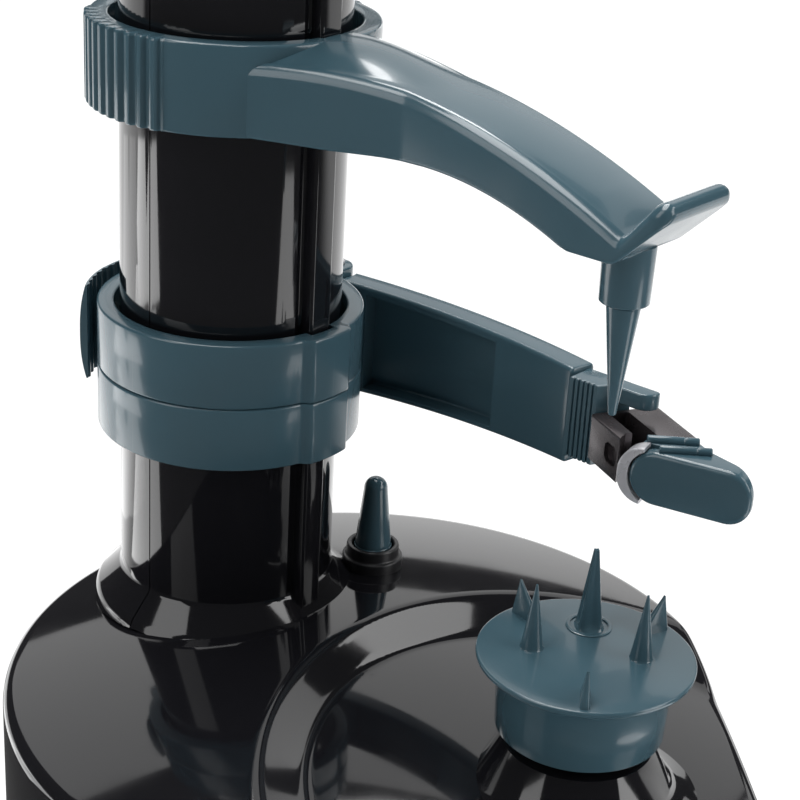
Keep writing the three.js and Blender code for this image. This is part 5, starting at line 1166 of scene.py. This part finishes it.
@dataclass
class BladeArm:
    """The curved arm beside the turntable.

    Attributes:
        centre: Middle of the arc that the arm follows, in X and Y.
        radius: Radius of that arc.
        thick: Thickness of the arm.
        ends: Y of the arm's far end and of its root.
        nose: How far back each section of the rounded end lies, and how much smaller it is.
        nose_end: Where the whole section starts.
        root: Lower and upper level at the root.
        tip: Lower and upper level at the far end.
        pocket: Y of the pocket's ends.
        pocket_depth: Depth of the pocket.
        pocket_walls: Wall left below and above the pocket.
        bevel: Bevel of the pocket's floor.
        edge: Radius of the long edges.
        swing: Radius that is cleared round the hinge.
        barrel: Radius, lower and upper level of the hinge's barrel.
    """

    centre: Flat = (-148.0, 9.0)
    radius: float = 184.0
    thick: float = 6.6
    ends: Flat = (-26.4, 44.6)
    nose: tuple[Flat, ...] = ((0.0, 0.45), (0.12, 0.2), (0.35, 0.05))
    nose_end: float = 0.7
    root: Flat = (85.6, 112.6)
    tip: Flat = (89.0, 110.6)
    pocket: Flat = (-4.0, 33.0)
    pocket_depth: float = 4.4
    pocket_walls: Flat = (1.3, 2.0)
    bevel: float = 0.3
    edge: float = 0.9
    swing: float = 5.2
    barrel: Solid = (4.0, 93.0, 101.0)

    def _at(self, y: float, frame: Sequence[Flat]) -> list[Solid]:
        """A section of the arm at Y, from depths outwards and levels."""
        turn = math.degrees(math.asin((y - self.centre[1]) / self.radius))
        return [(*polar(self.radius + depth, turn, self.centre), z) for depth, z in frame]

    def _levels(self, y: float) -> Flat:
        """Lower and upper level of the arm at Y."""
        share = (y - self.ends[0]) / (self.ends[1] - self.ends[0])
        return (blend(self.tip[0], self.root[0], share), blend(self.tip[1], self.root[1], share))

    def _beam(self, rows: int = 48) -> Piece:
        """The arm's solid, before the pocket and the hinge are cut."""
        first, last = self.ends
        places = [(first + back, shrink) for back, shrink in self.nose]
        places += [(blend(first + self.nose_end, last, i / rows), 0.0) for i in range(rows + 1)]
        sections: list[list[Solid]] = []
        for y, shrink in places:
            low, high = self._levels(y)
            low, high, half = low + shrink, high - shrink, self.thick / 2 - shrink
            corners = [(-half, low), (half, low), (half, high), (-half, high)]
            sections.append(self._at(y, soften(corners, self.edge)))
        return loft("blade_arm_shell", sections)

    def _pocket(self, rows: int = 32) -> Piece:
        """The cutter for the open pocket on the inner side."""
        near, far, bevel = -self.thick / 2 - 4.0, -self.thick / 2 + self.pocket_depth, self.bevel
        sections: list[list[Solid]] = []
        for i in range(rows + 1):
            y = blend(*self.pocket, i / rows)
            low, high = self._levels(y)
            low, high = low + self.pocket_walls[0], high - self.pocket_walls[1]
            frame = [(near, low), (far - bevel, low), (far, low + bevel), (far, high - bevel),
                     (far - bevel, high), (near, high)]
            sections.append(self._at(y, frame))
        return loft("pocket", sections)

    def build(self) -> None:
        """Makes the arm with its pocket and hinge."""
        beam = self._beam()
        px, py = ARM_PIVOT
        reach, low, high = self.barrel
        swing = drum("swing", self.swing, CUT_LOW, CUT_HIGH, ARM_PIVOT, 64)
        beside = box("beside", (px - 12.0, py - self.swing, CUT_LOW), (px, py + 8.0, CUT_HIGH), 0.1)
        combine(beam, [swing, beside, self._pocket()], "DIFFERENCE")
        rim = [(0.0, low), (reach, low), (reach, high), (0.0, high)]
        barrel = soft_turned("barrel", rim, 0.35, ARM_PIVOT, 64)
        web = box("web", (px - 2.4, py - 6.4, low), (px + reach, py - 1.2, high), 0.3)
        combine(beam, [barrel, web], "UNION")
        combine(beam, [drum("pin_hole", PIN_HOLE, low - 1.0, high + 1.0, ARM_PIVOT, 32)], "DIFFERENCE")
        dress(beam, TEAL, "blade_arm", ["blade_arm"])


@dataclass
class BladeClip:
    """The ribbed clip on the blade arm's end, with its jaw.

    Attributes:
        rear: Y of the clip's rear.
        levels: Lower and upper level.
        ribs: Number of grooves on its left side.
        groove: Depth of the grooves.
        lead: Softening of a groove's ends.
        jaw_low: Lower level of the jaw.
        jaw_width: Width of the jaw.
        jaw_end: Y of the jaw's tip.
    """

    rear: float = -26.7
    levels: Flat = (91.8, 109.8)
    ribs: int = 5
    groove: float = 0.5
    lead: float = 0.12
    jaw_low: float = 106.2
    jaw_width: float = 4.2
    jaw_end: float = -44.7

    def build(self) -> None:
        """Makes the clip."""
        pitch = (self.rear - CLIP_FRONT) / (self.ribs + 1)
        floor, wide, lead = CLIP_LEFT + self.groove, 0.4 * pitch, self.lead
        plan: list[Flat] = [(CLIP_LEFT, CLIP_FRONT)]
        for i in range(self.ribs):
            y = CLIP_FRONT + (i + 0.8) * pitch
            plan += [(CLIP_LEFT, y), (floor, y + lead), (floor, y + wide - lead), (CLIP_LEFT, y + wide)]
        slope = math.tan(math.radians(HEAD_TURN))
        plan += [(CLIP_LEFT, self.rear), (CLIP_RIGHT, self.rear),
                 (CLIP_RIGHT, CLIP_FRONT + (CLIP_RIGHT - CLIP_LEFT) * slope)]
        body = slab("blade_clip_shell", plan, *self.levels, 0.35)
        inner, root, tip = CLIP_RIGHT - self.jaw_width, CLIP_FRONT + 0.3, self.jaw_end
        jaw = slab("jaw", [(CLIP_RIGHT, root), (inner, root), (inner, tip + 2.7), (inner + 0.5, tip + 1.4),
                           (inner + 1.6, tip + 0.4), (inner + 3.0, tip), (CLIP_RIGHT - 0.3, tip + 0.2),
                           (CLIP_RIGHT, tip + 0.7)], self.jaw_low, self.levels[1], 0.4)
        combine(body, [jaw], "UNION")
        dress(body, TEAL, "blade_arm", ["blade_clip"])


@dataclass
class BladeHead:
    """The swivelling head: channel yoke, blade plate, guide shoe and holder.

    Attributes:
        yoke: Left, right, rear and front reach of the channel in its own frame.
        yoke_levels: Lower and upper level of the channel.
        yoke_gap: Gap between the yoke and the clip.
        channel: Where the channel lies across the yoke.
        wall: Thickness of the yoke's rear and floor.
        recess: Y of the ends of the recess in the yoke's left side, and half of its height.
        stem: Radius, start and end of the stem in the clip.
        cut_rear: Y in the shoe's frame where the cut that clears the holder starts.
        shoe_place: Where the shoe's face starts, in X and Y.
        shoe_turn: Heading of the shoe in degrees.
        shoe_length: Length of the shoe.
        shoe_levels: Lower and upper level of the shoe.
        shoe_thick: Thickness of the shoe before its back is cut.
        shoe_tip: Thickness of the shoe at its tip.
        rounds: Radius of the shoe's rear and of its tip, seen from the side.
        slit: Nearest and farthest side of the slit for the blade plate.
        slant: Where the hinge bars' slanted line starts in the shoe's frame.
        slant_turn: Heading of that line from the shoe's own in degrees.
        bar: Radius and length of a hinge bar.
        spread: Distance between the hinge bars.
        gap: Gap between the holder and the shoe or the yoke.
        plate: Nearest and farthest side of the blade plate.
        plate_top: Upper level of the plate.
        window: Y of the ends of the plate's window.
        window_levels: Lower and upper level of that window.
        holder_low: Lower level of the holder.
        holder_shift: How far the holder lies behind the shoe along the slant.
    """

    yoke: tuple[float, float, float, float] = (-5.4, 10.1, 0.0, -20.0)
    yoke_levels: Flat = (94.0, 104.0)
    yoke_gap: float = 0.4
    channel: Flat = (-1.8, 2.7)
    wall: float = 1.4
    recess: Solid = (-12.0, -7.0, 2.2)
    stem: Solid = (1.8, -0.7, 4.4)
    cut_rear: float = 2.8
    shoe_place: Flat = (19.8, -47.6)
    shoe_turn: float = 12.0
    shoe_length: float = 25.5
    shoe_levels: Flat = (91.6, 103.1)
    shoe_thick: float = 8.4
    shoe_tip: float = 1.9
    rounds: Flat = (5.6, 5.0)
    slit: Flat = (2.8, 4.2)
    slant: Flat = (1.6, -5.3)
    slant_turn: float = 25.0
    bar: Flat = (0.9, 10.6)
    spread: float = 4.5
    gap: float = 0.3
    plate: Flat = (3.15, 3.85)
    plate_top: float = 100.2
    window: Flat = (-11.5, -7.9)
    window_levels: Flat = (93.5, 98.6)
    holder_low: float = 92.4
    holder_shift: float = 2.1

    def _to_shoe(self, piece: Piece) -> Piece:
        """Moves a piece from the shoe's own frame to the object's."""
        return moved(piece, self.shoe_turn, self.shoe_place)

    def _on_slant(self, along: float, across: float) -> Flat:
        """A point along the slanted line, and across it to the rear, in the shoe's frame."""
        a = math.radians(self.slant_turn)
        return (self.slant[0] + along * math.sin(a) + across * math.cos(a),
                self.slant[1] - along * math.cos(a) + across * math.sin(a))

    def _yoke(self) -> Piece:
        """The channel between its thick left side and its broad right side, cut off along the holder."""
        left, right, rear, front = self.yoke
        low, high = self.yoke_levels
        middle = (low + high) / 2
        body = box("blade_yoke_shell", (left, front, low), (right, rear, high), 0.4)
        room = box("room", (self.channel[0], front - 4, low + self.wall),
                   (self.channel[1], rear - self.wall, high + 6), 0.4)
        first, last, half = self.recess
        outline = soften([(first, middle - half), (last, middle - half), (last, middle + half),
                          (first, middle + half)], 1.6, 5)
        combine(body, [room, slab("recess", outline, left - 2.0, left + 1.0, 0.1, Lie.SIDE)], "DIFFERENCE")
        stem = drum("stem", *self.stem, (0.0, 0.0), 48)
        lift = Matrix.Translation(Vector((0.0, 0.0, middle)) * MM)
        stem.data.transform(lift @ Matrix.Rotation(-math.pi / 2, 4, "X"))
        combine(body, [stem], "UNION")
        slope = math.tan(math.radians(HEAD_TURN))
        face = CLIP_FRONT + (CLIP_RIGHT - CLIP_LEFT) / 2 * slope - self.yoke_gap
        moved(body, HEAD_TURN, ((CLIP_LEFT + CLIP_RIGHT) / 2, face))
        behind = self.spread + self.bar[0] + self.gap
        a = math.radians(self.slant_turn)
        turn = self._on_slant((self.slant[1] + behind * math.sin(a) - self.cut_rear) / math.cos(a), behind)
        plan = [(-20.0, self.cut_rear), (-20.0, -60.0), self._on_slant(55.0, behind), turn]
        combine(body, [self._to_shoe(slab("cut", plan, CUT_LOW, CUT_HIGH, 0.1))], "DIFFERENCE")
        return body

    def _side(self, name: str, reach: Solid, near: float, far: float, edge: float, steps: int) -> Piece:
        """A plate with the shoe's D shape, seen from the side.

        Args:
            name: Name of the piece.
            reach: How far it grows above and below, then the distance of its rear and of its tip.
            near: Nearest side of the plate.
            far: Farthest side of the plate.
            edge: Radius of its rims.
            steps: Intervals in each rounded rim.

        Returns:
            The new object.
        """
        grow, start, end = reach
        low, high = self.shoe_levels[0] - grow, self.shoe_levels[1] + grow
        rear, tip = self.rounds
        outline = [*arc(rear, 90, 0, 12, (-start - rear, high - rear)),
                   *arc(rear, 0, -90, 12, (-start - rear, low + rear)),
                   *arc(tip, 270, 180, 10, (-end + tip, low + tip)),
                   *arc(tip, 180, 90, 10, (-end + tip, high - tip))]
        return slab(name, outline, near, far, edge, Lie.SIDE, steps)

    def _bar(self, along: float, across: float) -> Piece:
        """A hinge bar with a groove, along the slanted line on the shoe's top."""
        r, length = self.bar
        profile = [(0.0, 0.0), (r, 0.0), (r, 7.4), (r - 0.12, 7.6), (r, 7.8), (r, length), (0.0, length)]
        bar = soft_turned("bar", profile, 0.3, (0.0, 0.0), 40)
        place = Vector((*self._on_slant(along, across), self.shoe_levels[1] + r / 2)) * MM
        heading = Matrix.Rotation(math.radians(self.slant_turn), 4, "Z")
        bar.data.transform(Matrix.Translation(place) @ heading @ Matrix.Rotation(math.pi / 2, 4, "X"))
        return bar

    def _shoe(self) -> Piece:
        """The wedge whose near face guides the fruit."""
        r, length = self.bar
        near, far = self.slit
        outer, ahead, rear = 30.0, -20.0, 9.0
        shoe = self._side("guide_shoe_shell", (0.0, 0.0, self.shoe_length), 0.0, self.shoe_thick, 1.1, 6)
        behind = slab("behind", [(near, rear), (near, self._on_slant(-r, r)[1]), self._on_slant(0.0, r),
                                 self._on_slant(length + 8.0, r), (outer, ahead), (outer, rear)],
                      CUT_LOW, CUT_HIGH, 0.1)
        corner, tip = self._on_slant(length, r), (self.shoe_tip, -self.shoe_length)
        past = [tuple(blend(tip[k], corner[k], share) for k in (0, 1)) for share in (1.4, -0.4)]
        beyond = slab("beyond", [*past, (outer, past[1][1]), (outer, corner[1])], CUT_LOW, CUT_HIGH, 0.1)
        slot = box("slot", (near, -22.3, CUT_LOW), (far, 4.0, self.plate_top + 0.3), 0.1)
        combine(shoe, [behind, beyond, slot], "DIFFERENCE")
        combine(shoe, [self._bar(0.0, 0.0)], "UNION")
        return shoe

    def _plate(self) -> Piece:
        """The blade plate with the pale band that wraps the shoe's rear."""
        band = self._side("blade_plate_shell", (0.4, -2.5, 22.0), 0.0, 3.9, 0.3, 3)
        inside = self._side("inside", (0.2, -0.2, 60.0), -3.0, 8.0, 0.1, 2)
        ahead = box("ahead", (-4.0, -70.0, CUT_LOW - 10.0), (9.0, -2.8, CUT_HIGH + 10.0), 0.1)
        combine(band, [inside, ahead], "DIFFERENCE")
        plate = self._side("plate", (0.35, -2.4, 21.9), *self.plate, 0.1, 2)
        above = box("above", (0.0, -40.0, self.plate_top), (9.0, 9.0, CUT_HIGH), 0.1)
        window = box("slit", (0.0, self.window[0], self.window_levels[0]),
                     (8.0, self.window[1], self.window_levels[1]), 0.4)
        combine(plate, [above, window], "DIFFERENCE")
        combine(band, [plate], "UNION")
        return band

    def _holder(self) -> Piece:
        """The strip between the shoe and the yoke, with its own hinge bar."""
        (r, length), shift, side = self.bar, self.holder_shift, self.slit[1]
        near, rear = r + self.gap, self.spread + r
        meet = (side - self._on_slant(0.0, near)[0]) / math.sin(math.radians(self.slant_turn))
        heel = self._on_slant(-shift, rear)
        plan = [self._on_slant(meet, near), self._on_slant(length, near),
                self._on_slant(length - shift, rear), heel, (side, heel[1])]
        body = slab("blade_holder_shell", plan, self.holder_low, self.shoe_levels[1], 0.2)
        combine(body, [self._bar(-shift, self.spread)], "UNION")
        return body

    def build(self) -> None:
        """Makes the four pieces of the head."""
        dress(self._yoke(), YOKE_METAL, "blade_head", ["blade_yoke"])
        dress(self._to_shoe(self._shoe()), TEAL, "blade_head", ["guide_shoe"])
        dress(self._to_shoe(self._plate()), BLADE_METAL, "blade_head", ["peeling_blade"])
        dress(self._to_shoe(self._holder()), TEAL, "blade_head", ["blade_holder"])


@dataclass
class Turntable:
    """The spiked disc that holds the fruit.

    Attributes:
        radius: Radius of the disc.
        top: Level of its face.
        heading: Angle of the tall spike in degrees.
        spikes: Angles of the plain spikes from the tall one.
        plain: Foot radius, height and share of the radius left at the top of a plain spike.
        tall: The same of the tall spike.
        ridges: Number of ridges on the tall spike.
        circle: Distance of the spikes from the axis.
        fins: Angles of the fins from the tall spike.
        fin: Reach of a fin's inner end, its outer end and its point.
        fin_height: Height of a fin.
        fin_thick: Thickness of a fin at its foot.
        sunk: How deep spikes and fins start below the face.
        loop: Inner and outer radius of the low ring round the tall spike, and its height.
        cup: Profile of the cup, as radius and height.
    """

    radius: float = 21.8
    top: float = 67.2
    heading: float = 32.0
    spikes: Flat = (90.0, -86.0)
    plain: Solid = (2.4, 13.9, 0.09)
    tall: Solid = (3.25, 17.4, 0.2)
    ridges: int = 4
    circle: float = 10.8
    fins: Solid = (48.0, -48.0, 182.0)
    fin: Solid = (12.9, 20.9, 19.5)
    fin_height: float = 7.6
    fin_thick: float = 2.1
    sunk: float = 0.6
    loop: Solid = (3.9, 4.7, 0.3)
    cup: tuple[Flat, ...] = (
        (0.0, 62.2), (15.0, 62.2), (14.6, 51.0), (14.8, 50.6), (16.7, 50.6), (16.9, 50.9), (17.2, 57.5),
        (17.4, 64.2), (17.7, 64.8))

    def _body(self) -> Piece:
        """The disc and its cup."""
        flange = soften([(18.2, 65.0), (20.3, 65.0), (self.radius, self.top - 1.0), (self.radius, self.top),
                         (18.0, self.top)], 0.55, 5, False)
        return turned("turntable_shell", [*self.cup, *flange, (0.0, self.top)], SPINDLE, 192, crease=38.0)

    def _spike(self, turn: float, shape: Solid, ridges: int = 0) -> Piece:
        """A pointed spike, plain or with ridges down its sides.

        Args:
            turn: Angle from the tall spike.
            shape: Radius at the foot, height, and share of the radius that is left at the top.
            ridges: Number of ridges.

        Returns:
            The new object.
        """
        radius, height, blunt = shape
        centre = polar(self.circle, self.heading + turn, SPINDLE)
        rows, sides = 24, 48
        sections: list[list[Solid]] = []
        for share in (k / rows for k in range(rows + 1)):
            fillet = 0.6 * max(0.0, 1 - share * 16) ** 2
            reach = radius * blend(1.0, blunt, share) + fillet
            z = self.top + blend(-self.sunk, height, share)
            ring: list[Solid] = []
            for i in range(sides):
                wave = 0.5 - 0.5 * math.cos(ridges * 2 * math.pi * i / sides)
                dip = 0.34 * wave ** 0.7 * min(1.0, share * 10)
                ring.append((*polar(reach * (1 - dip), 360.0 * i / sides, centre), z))
            sections.append(ring)
        return loft("spike", sections, 40.0)

    def _fin(self, turn: float, rows: int = 8) -> Piece:
        """A thin triangular fin that stands on the disc, at an angle from the tall spike."""
        inner, outer, peak = self.fin
        sections: list[list[Solid]] = []
        for share in (k / rows for k in range(rows + 1)):
            half = self.fin_thick / 2 * (1 - 0.75 * share)
            a, b = blend(inner, peak, share) - 0.05, blend(outer, peak, share) + 0.05
            z = self.top + blend(-self.sunk, self.fin_height, share)
            ring = soften([(a, -half), (b, -half), (b, half), (a, half)], half * 0.7, 3)
            sections.append([(x, y, z) for x, y in ring])
        return moved(loft("fin", sections, 40.0), self.heading + turn, SPINDLE)

    def _loop(self) -> Piece:
        """The low ring round the tall spike."""
        inner, outer, rise = self.loop
        low, side, high = (self.top + level for level in (-0.4, rise - 0.08, rise))
        profile = [(inner, low), (inner, side), (inner + 0.2, high), (outer - 0.2, high), (outer, side),
                   (outer, low), (inner, low)]
        return turned("ring", profile, polar(self.circle, self.heading, SPINDLE), 64)

    def build(self) -> None:
        """Makes the whole turntable as one piece."""
        parts = [self._body(), *(self._spike(turn, self.plain) for turn in self.spikes)]
        parts += [self._spike(0.0, self.tall, self.ridges), *(self._fin(turn) for turn in self.fins)]
        parts.append(self._loop())
        dress(merge("turntable_disc", parts, 38.0), TEAL, "turntable", ["turntable"])


@dataclass
class StartButton:
    """The start peg and its stepped collar.

    Attributes:
        place: Where the peg stands.
        foot: Underside of the peg's flange.
        top: Level of the rounded top.
        tip: Radius of the rounded top.
        waist: Radius and level where the peg's side bends.
        flange: Radius of each point of the flange, and its height above the foot.
        collar: Inner, middle and outer radius of the collar.
        collar_levels: Levels of its two steps.
    """

    place: Flat = (28.5, 24.5)
    foot: float = 49.4
    top: float = 68.4
    tip: float = 2.75
    waist: Flat = (3.35, 60.0)
    flange: tuple[Flat, ...] = ((0.0, 0.0), (4.4, 0.0), (4.4, 1.6), (4.2, 1.7), (4.1, 3.4))
    collar: Solid = (4.9, 6.2, 7.1)
    collar_levels: Flat = (48.6, 51.4)

    def build(self) -> None:
        """Makes the peg and the collar."""
        flange = soften([(r, self.foot + rise) for r, rise in self.flange], 0.2, 4, False)
        ball = self.top - self.tip
        tip = [(self.tip * math.cos(a), ball + self.tip * math.sin(a)) for a in quarter(10)[:-1]]
        peg = turned("start_button_shell", [*flange, self.waist, *tip, (0.0, self.top)], self.place, 96)
        dress(peg, TEAL, "start_button", ["start_button"])
        low, (step, high), (inner, middle, outer) = dome(*self.place) - 1.0, self.collar_levels, self.collar
        rim = [(inner, low), (outer, low), (outer, step), (middle, step), (middle, high), (inner, high)]
        profile = soften(rim, 0.5)
        collar = turned("button_collar_shell", [*profile, profile[0]], self.place, 96)
        dress(collar, BLACK_SATIN, "base", ["button_collar"])


class Mechanism:
    """The solids that stay as they are, and their finishes."""

    BY_SLOT: dict[str, Finish] = {
        "black_gloss": BLACK_SATIN, "teal_gloss": TEAL, "steel": STEEL, "dark_steel": YOKE_METAL,
        "rubber": RUBBER, "nylon": NYLON, "brass": BRASS, "cell_sleeve": SLEEVE}

    def build(self, frame: dict) -> None:
        """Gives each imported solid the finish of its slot.
        """
        slots = {part["node"]: part["material_slot"] for part in frame["record"]["subparts"]}
        for name, node in frame["nodes"].items():
            finish = self.BY_SLOT[slots.get(name, "steel")]
            node.data.materials.clear()
            node.data.materials.append(finish.material())
            LOG.info("%s keeps its solid, finished as %s", name, finish.name)


# Studio


@dataclass(frozen=True)
class Lamp:
    """A soft rectangular lamp.

    Attributes:
        name: Name of the lamp.
        place: Where it stands, in millimetres.
        aim: Level on the frame's Z axis that it points at.
        size: Width and height in millimetres.
        power: Power in watts.
    """

    name: str
    place: Solid
    aim: float
    size: Flat
    power: float

    def build(self) -> Piece:
        """Makes the lamp."""
        data = bpy.data.lights.new(self.name, "AREA")
        data.shape = "RECTANGLE"
        data.size, data.size_y = self.size[0] * MM, self.size[1] * MM
        data.energy = self.power
        lamp = bpy.data.objects.new(self.name, data)
        bpy.context.scene.collection.objects.link(lamp)
        lamp.location = Vector(self.place) * MM
        way = Vector((0.0, 0.0, self.aim)) - Vector(self.place)
        lamp.rotation_euler = way.to_track_quat("-Z", "Y").to_euler()
        return lamp


@dataclass(frozen=True)
class FloorLamp:
    """A flat lamp on the floor that shines up, along a line from the column.

    Attributes:
        name: Name of the lamp.
        turn: Angle of its line from the column in degrees.
        reach: Distance of its two ends from the column.
        width: Width in millimetres.
        glow: How bright its face is.
    """

    name: str
    turn: float
    reach: Flat
    width: float
    glow: float

    def build(self) -> None:
        """Makes the lamp and lays it down along its line."""
        length = self.reach[1] - self.reach[0]
        power = self.glow * math.pi * self.width * length * MM * MM
        place = (*polar(sum(self.reach) / 2, self.turn, COLUMN), 1.0)
        lamp = Lamp(self.name, place, 0.0, (self.width, length), power).build()
        lamp.rotation_euler = (math.pi, 0.0, math.radians(self.turn + 90.0))


@dataclass
class Studio:
    """The floor, lights and camera.

    Attributes:
        floor_level: Where the feet stand.
        floor_reach: Distance from the middle of the floor to its sides.
        paper: Colour of the floor.
        paper_share: How much of its plain glow the camera sees.
        paper_glow: Strength of that glow.
        away: The way across the floor from the camera to the object.
        dark_reach: How far along it the floor is dark in reflections, and where it is bright, in metres.
        dark_glow: Strength of the floor in reflections there.
        place: Where the camera stands, in millimetres.
        right: The image's right in the object's frame.
        up: The image's up in the object's frame.
        ahead: The way that the camera looks.
        lens: Focal length on a 36 mm sensor.
        ambient: Strength of the world's light on the object.
        lamps: The lamps that stand round the object.
        front_lamp: The lamp on the floor before the carriage.
        rear_turns: Angles of the two dim strips and of the two bright ones that the column mirrors.
    """

    floor_level: float = -3.0
    floor_reach: float = 9000.0
    paper: Colour = (0.86, 0.86, 0.87)
    paper_share: float = 0.85
    paper_glow: float = 1.12
    away: Solid = (0.78, 0.626, 0.0)
    dark_reach: Flat = (0.02, 0.14)
    dark_glow: Flat = (0.08, 1.2)
    place: Solid = (-273.3, -223.1, 256.6)
    right: Solid = (0.64243, -0.76449, 0.05337)
    up: Solid = (0.27240, 0.29288, 0.91655)
    ahead: Solid = (0.71631, 0.57428, -0.39640)
    lens: float = 84.03
    ambient: float = 0.05
    lamps: tuple[Lamp, ...] = (
        Lamp("key_left", (-900.0, 250.0, 700.0), 120.0, (500.0, 900.0), 3.0),
        Lamp("fill_right", (300.0, -1000.0, 500.0), 120.0, (500.0, 700.0), 4.0),
        Lamp("top", (-100.0, 200.0, 1300.0), 100.0, (900.0, 700.0), 13.0),
        Lamp("horizon", (1039.0, 600.0, 170.0), 60.0, (900.0, 320.0), 1.0),
        Lamp("far_sky", (795.0, 423.0, 691.0), 60.0, (860.0, 590.0), 1.45),
        Lamp("edge_light", (450.0, 400.0, 1030.0), 120.0, (420.0, 240.0), 3.6),
        Lamp("rear_sky", (400.0, 820.0, 655.0), 40.0, (455.0, 510.0), 0.72),
        Lamp("near_right", (480.0, -490.0, 750.0), 40.0, (500.0, 330.0), 1.75),
        Lamp("near_edge", (890.0, -130.0, 475.0), 40.0, (300.0, 220.0), 0.25))
    front_lamp: FloorLamp = FloorLamp("floor_front", -80.0, (180.0, 480.0), 90.0, 2.2)
    rear_turns: tuple[Flat, Flat] = ((90.0, 106.0), (122.0, 138.0))

    def _camera(self) -> None:
        """Makes the camera at the photograph's view."""
        data = bpy.data.cameras.new("camera")
        data.lens = self.lens
        data.sensor_width = 36.0
        data.clip_start = 0.01
        camera = bpy.data.objects.new("camera", data)
        bpy.context.scene.collection.objects.link(camera)
        columns = [Vector(self.right), Vector(self.up), -Vector(self.ahead)]
        turn = Matrix([[c[i] for c in columns] for i in range(3)]).to_4x4()
        camera.matrix_world = Matrix.Translation(Vector(self.place) * MM) @ turn
        bpy.context.scene.camera = camera

    def _paper(self) -> bpy.types.Material:
        """The floor's pale finish, which reflections see as dark nearby and bright farther off."""
        paper = bpy.data.materials.new("floor_paper")
        paper.use_nodes = True
        tree = paper.node_tree
        shader = tree.nodes["Principled BSDF"]
        fill(tree, shader, {"Base Color": (*self.paper, 1.0), "Roughness": 0.7, "Specular IOR Level": 0.1})
        path = add(tree, "LightPath", {})
        glow = add(tree, "Emission", {"Strength": self.paper_glow})
        share = add(tree, "Math", {0: path.outputs["Is Camera Ray"], 1: self.paper_share},
                    operation="MULTIPLY")
        seen = add(tree, "MixShader", {0: share.outputs[0], 1: shader.outputs[0], 2: glow.outputs[0]})
        place = add(tree, "TexCoord", {})
        along = add(tree, "VectorMath", {0: place.outputs["Object"], 1: self.away}, operation="DOT_PRODUCT")
        level = add(tree, "MapRange", {
            "From Min": self.dark_reach[0], "From Max": self.dark_reach[1], "To Min": self.dark_glow[0],
            "To Max": self.dark_glow[1], "Value": along.outputs["Value"]}, interpolation_type="SMOOTHSTEP")
        dim = add(tree, "Emission", {"Strength": level.outputs["Result"]})
        mirrored = add(tree, "MixShader", {
            0: path.outputs["Is Glossy Ray"], 1: seen.outputs[0], 2: dim.outputs[0]})
        fill(tree, tree.nodes["Material Output"], {"Surface": mirrored.outputs[0]})
        return paper

    def _floor(self) -> None:
        """Makes the pale floor."""
        reach, level = self.floor_reach, self.floor_level
        corners = [(x * reach, y * reach, level) for x, y in ((-1, -1), (1, -1), (1, 1), (-1, 1))]
        floor = make("floor", corners, [[0, 1, 2, 3]])
        floor.data.materials.append(self._paper())

    def _strips(self) -> list[FloorLamp]:
        """The strips on the floor behind the column, which its left side mirrors."""
        dim, bright = self.rear_turns
        strips = [FloorLamp(f"edge_strip_{turn:.0f}", turn, (115.0, 540.0), 110.0, 0.5) for turn in dim]
        for turn in bright:
            strips.append(FloorLamp(f"strip_near_{turn:.0f}", turn, (90.0, 270.0), 55.0, 2.2))
            strips.append(FloorLamp(f"strip_far_{turn:.0f}", turn, (275.0, 540.0), 105.0, 3.6))
        return strips

    def _world(self) -> None:
        """Makes the world white to the camera and dim to the object."""
        world = bpy.context.scene.world or bpy.data.worlds.new("world")
        bpy.context.scene.world = world
        world.use_nodes = True
        tree = world.node_tree
        path = add(tree, "LightPath", {})
        level = add(tree, "MapRange", {
            "To Min": self.ambient, "To Max": 1.0, "Value": path.outputs["Is Camera Ray"]})
        fill(tree, tree.nodes["Background"], {
            "Color": (1.0, 1.0, 1.0, 1.0), "Strength": level.outputs["Result"]})

    def build(self) -> None:
        """Makes the camera, the floor and the lights."""
        self._camera()
        self._floor()
        for lamp in (*self.lamps, *self._strips(), self.front_lamp):
            lamp.build()
        self._world()
        bpy.context.scene.view_settings.view_transform = "Standard"


def main() -> None:
    """Builds everything."""
    logging.basicConfig(level=logging.INFO, format="%(name)s: %(message)s")
    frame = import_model()
    Studio().build()
    Mechanism().build(frame)
    parts = (BaseHousing(), Column(), TopArm(), Carriage(), ReleaseLever(), BladeArm(), BladeClip(),
             BladeHead(), Turntable(), StartButton())
    for part in parts:
        part.build()


if __name__ == "__main__":
    main()
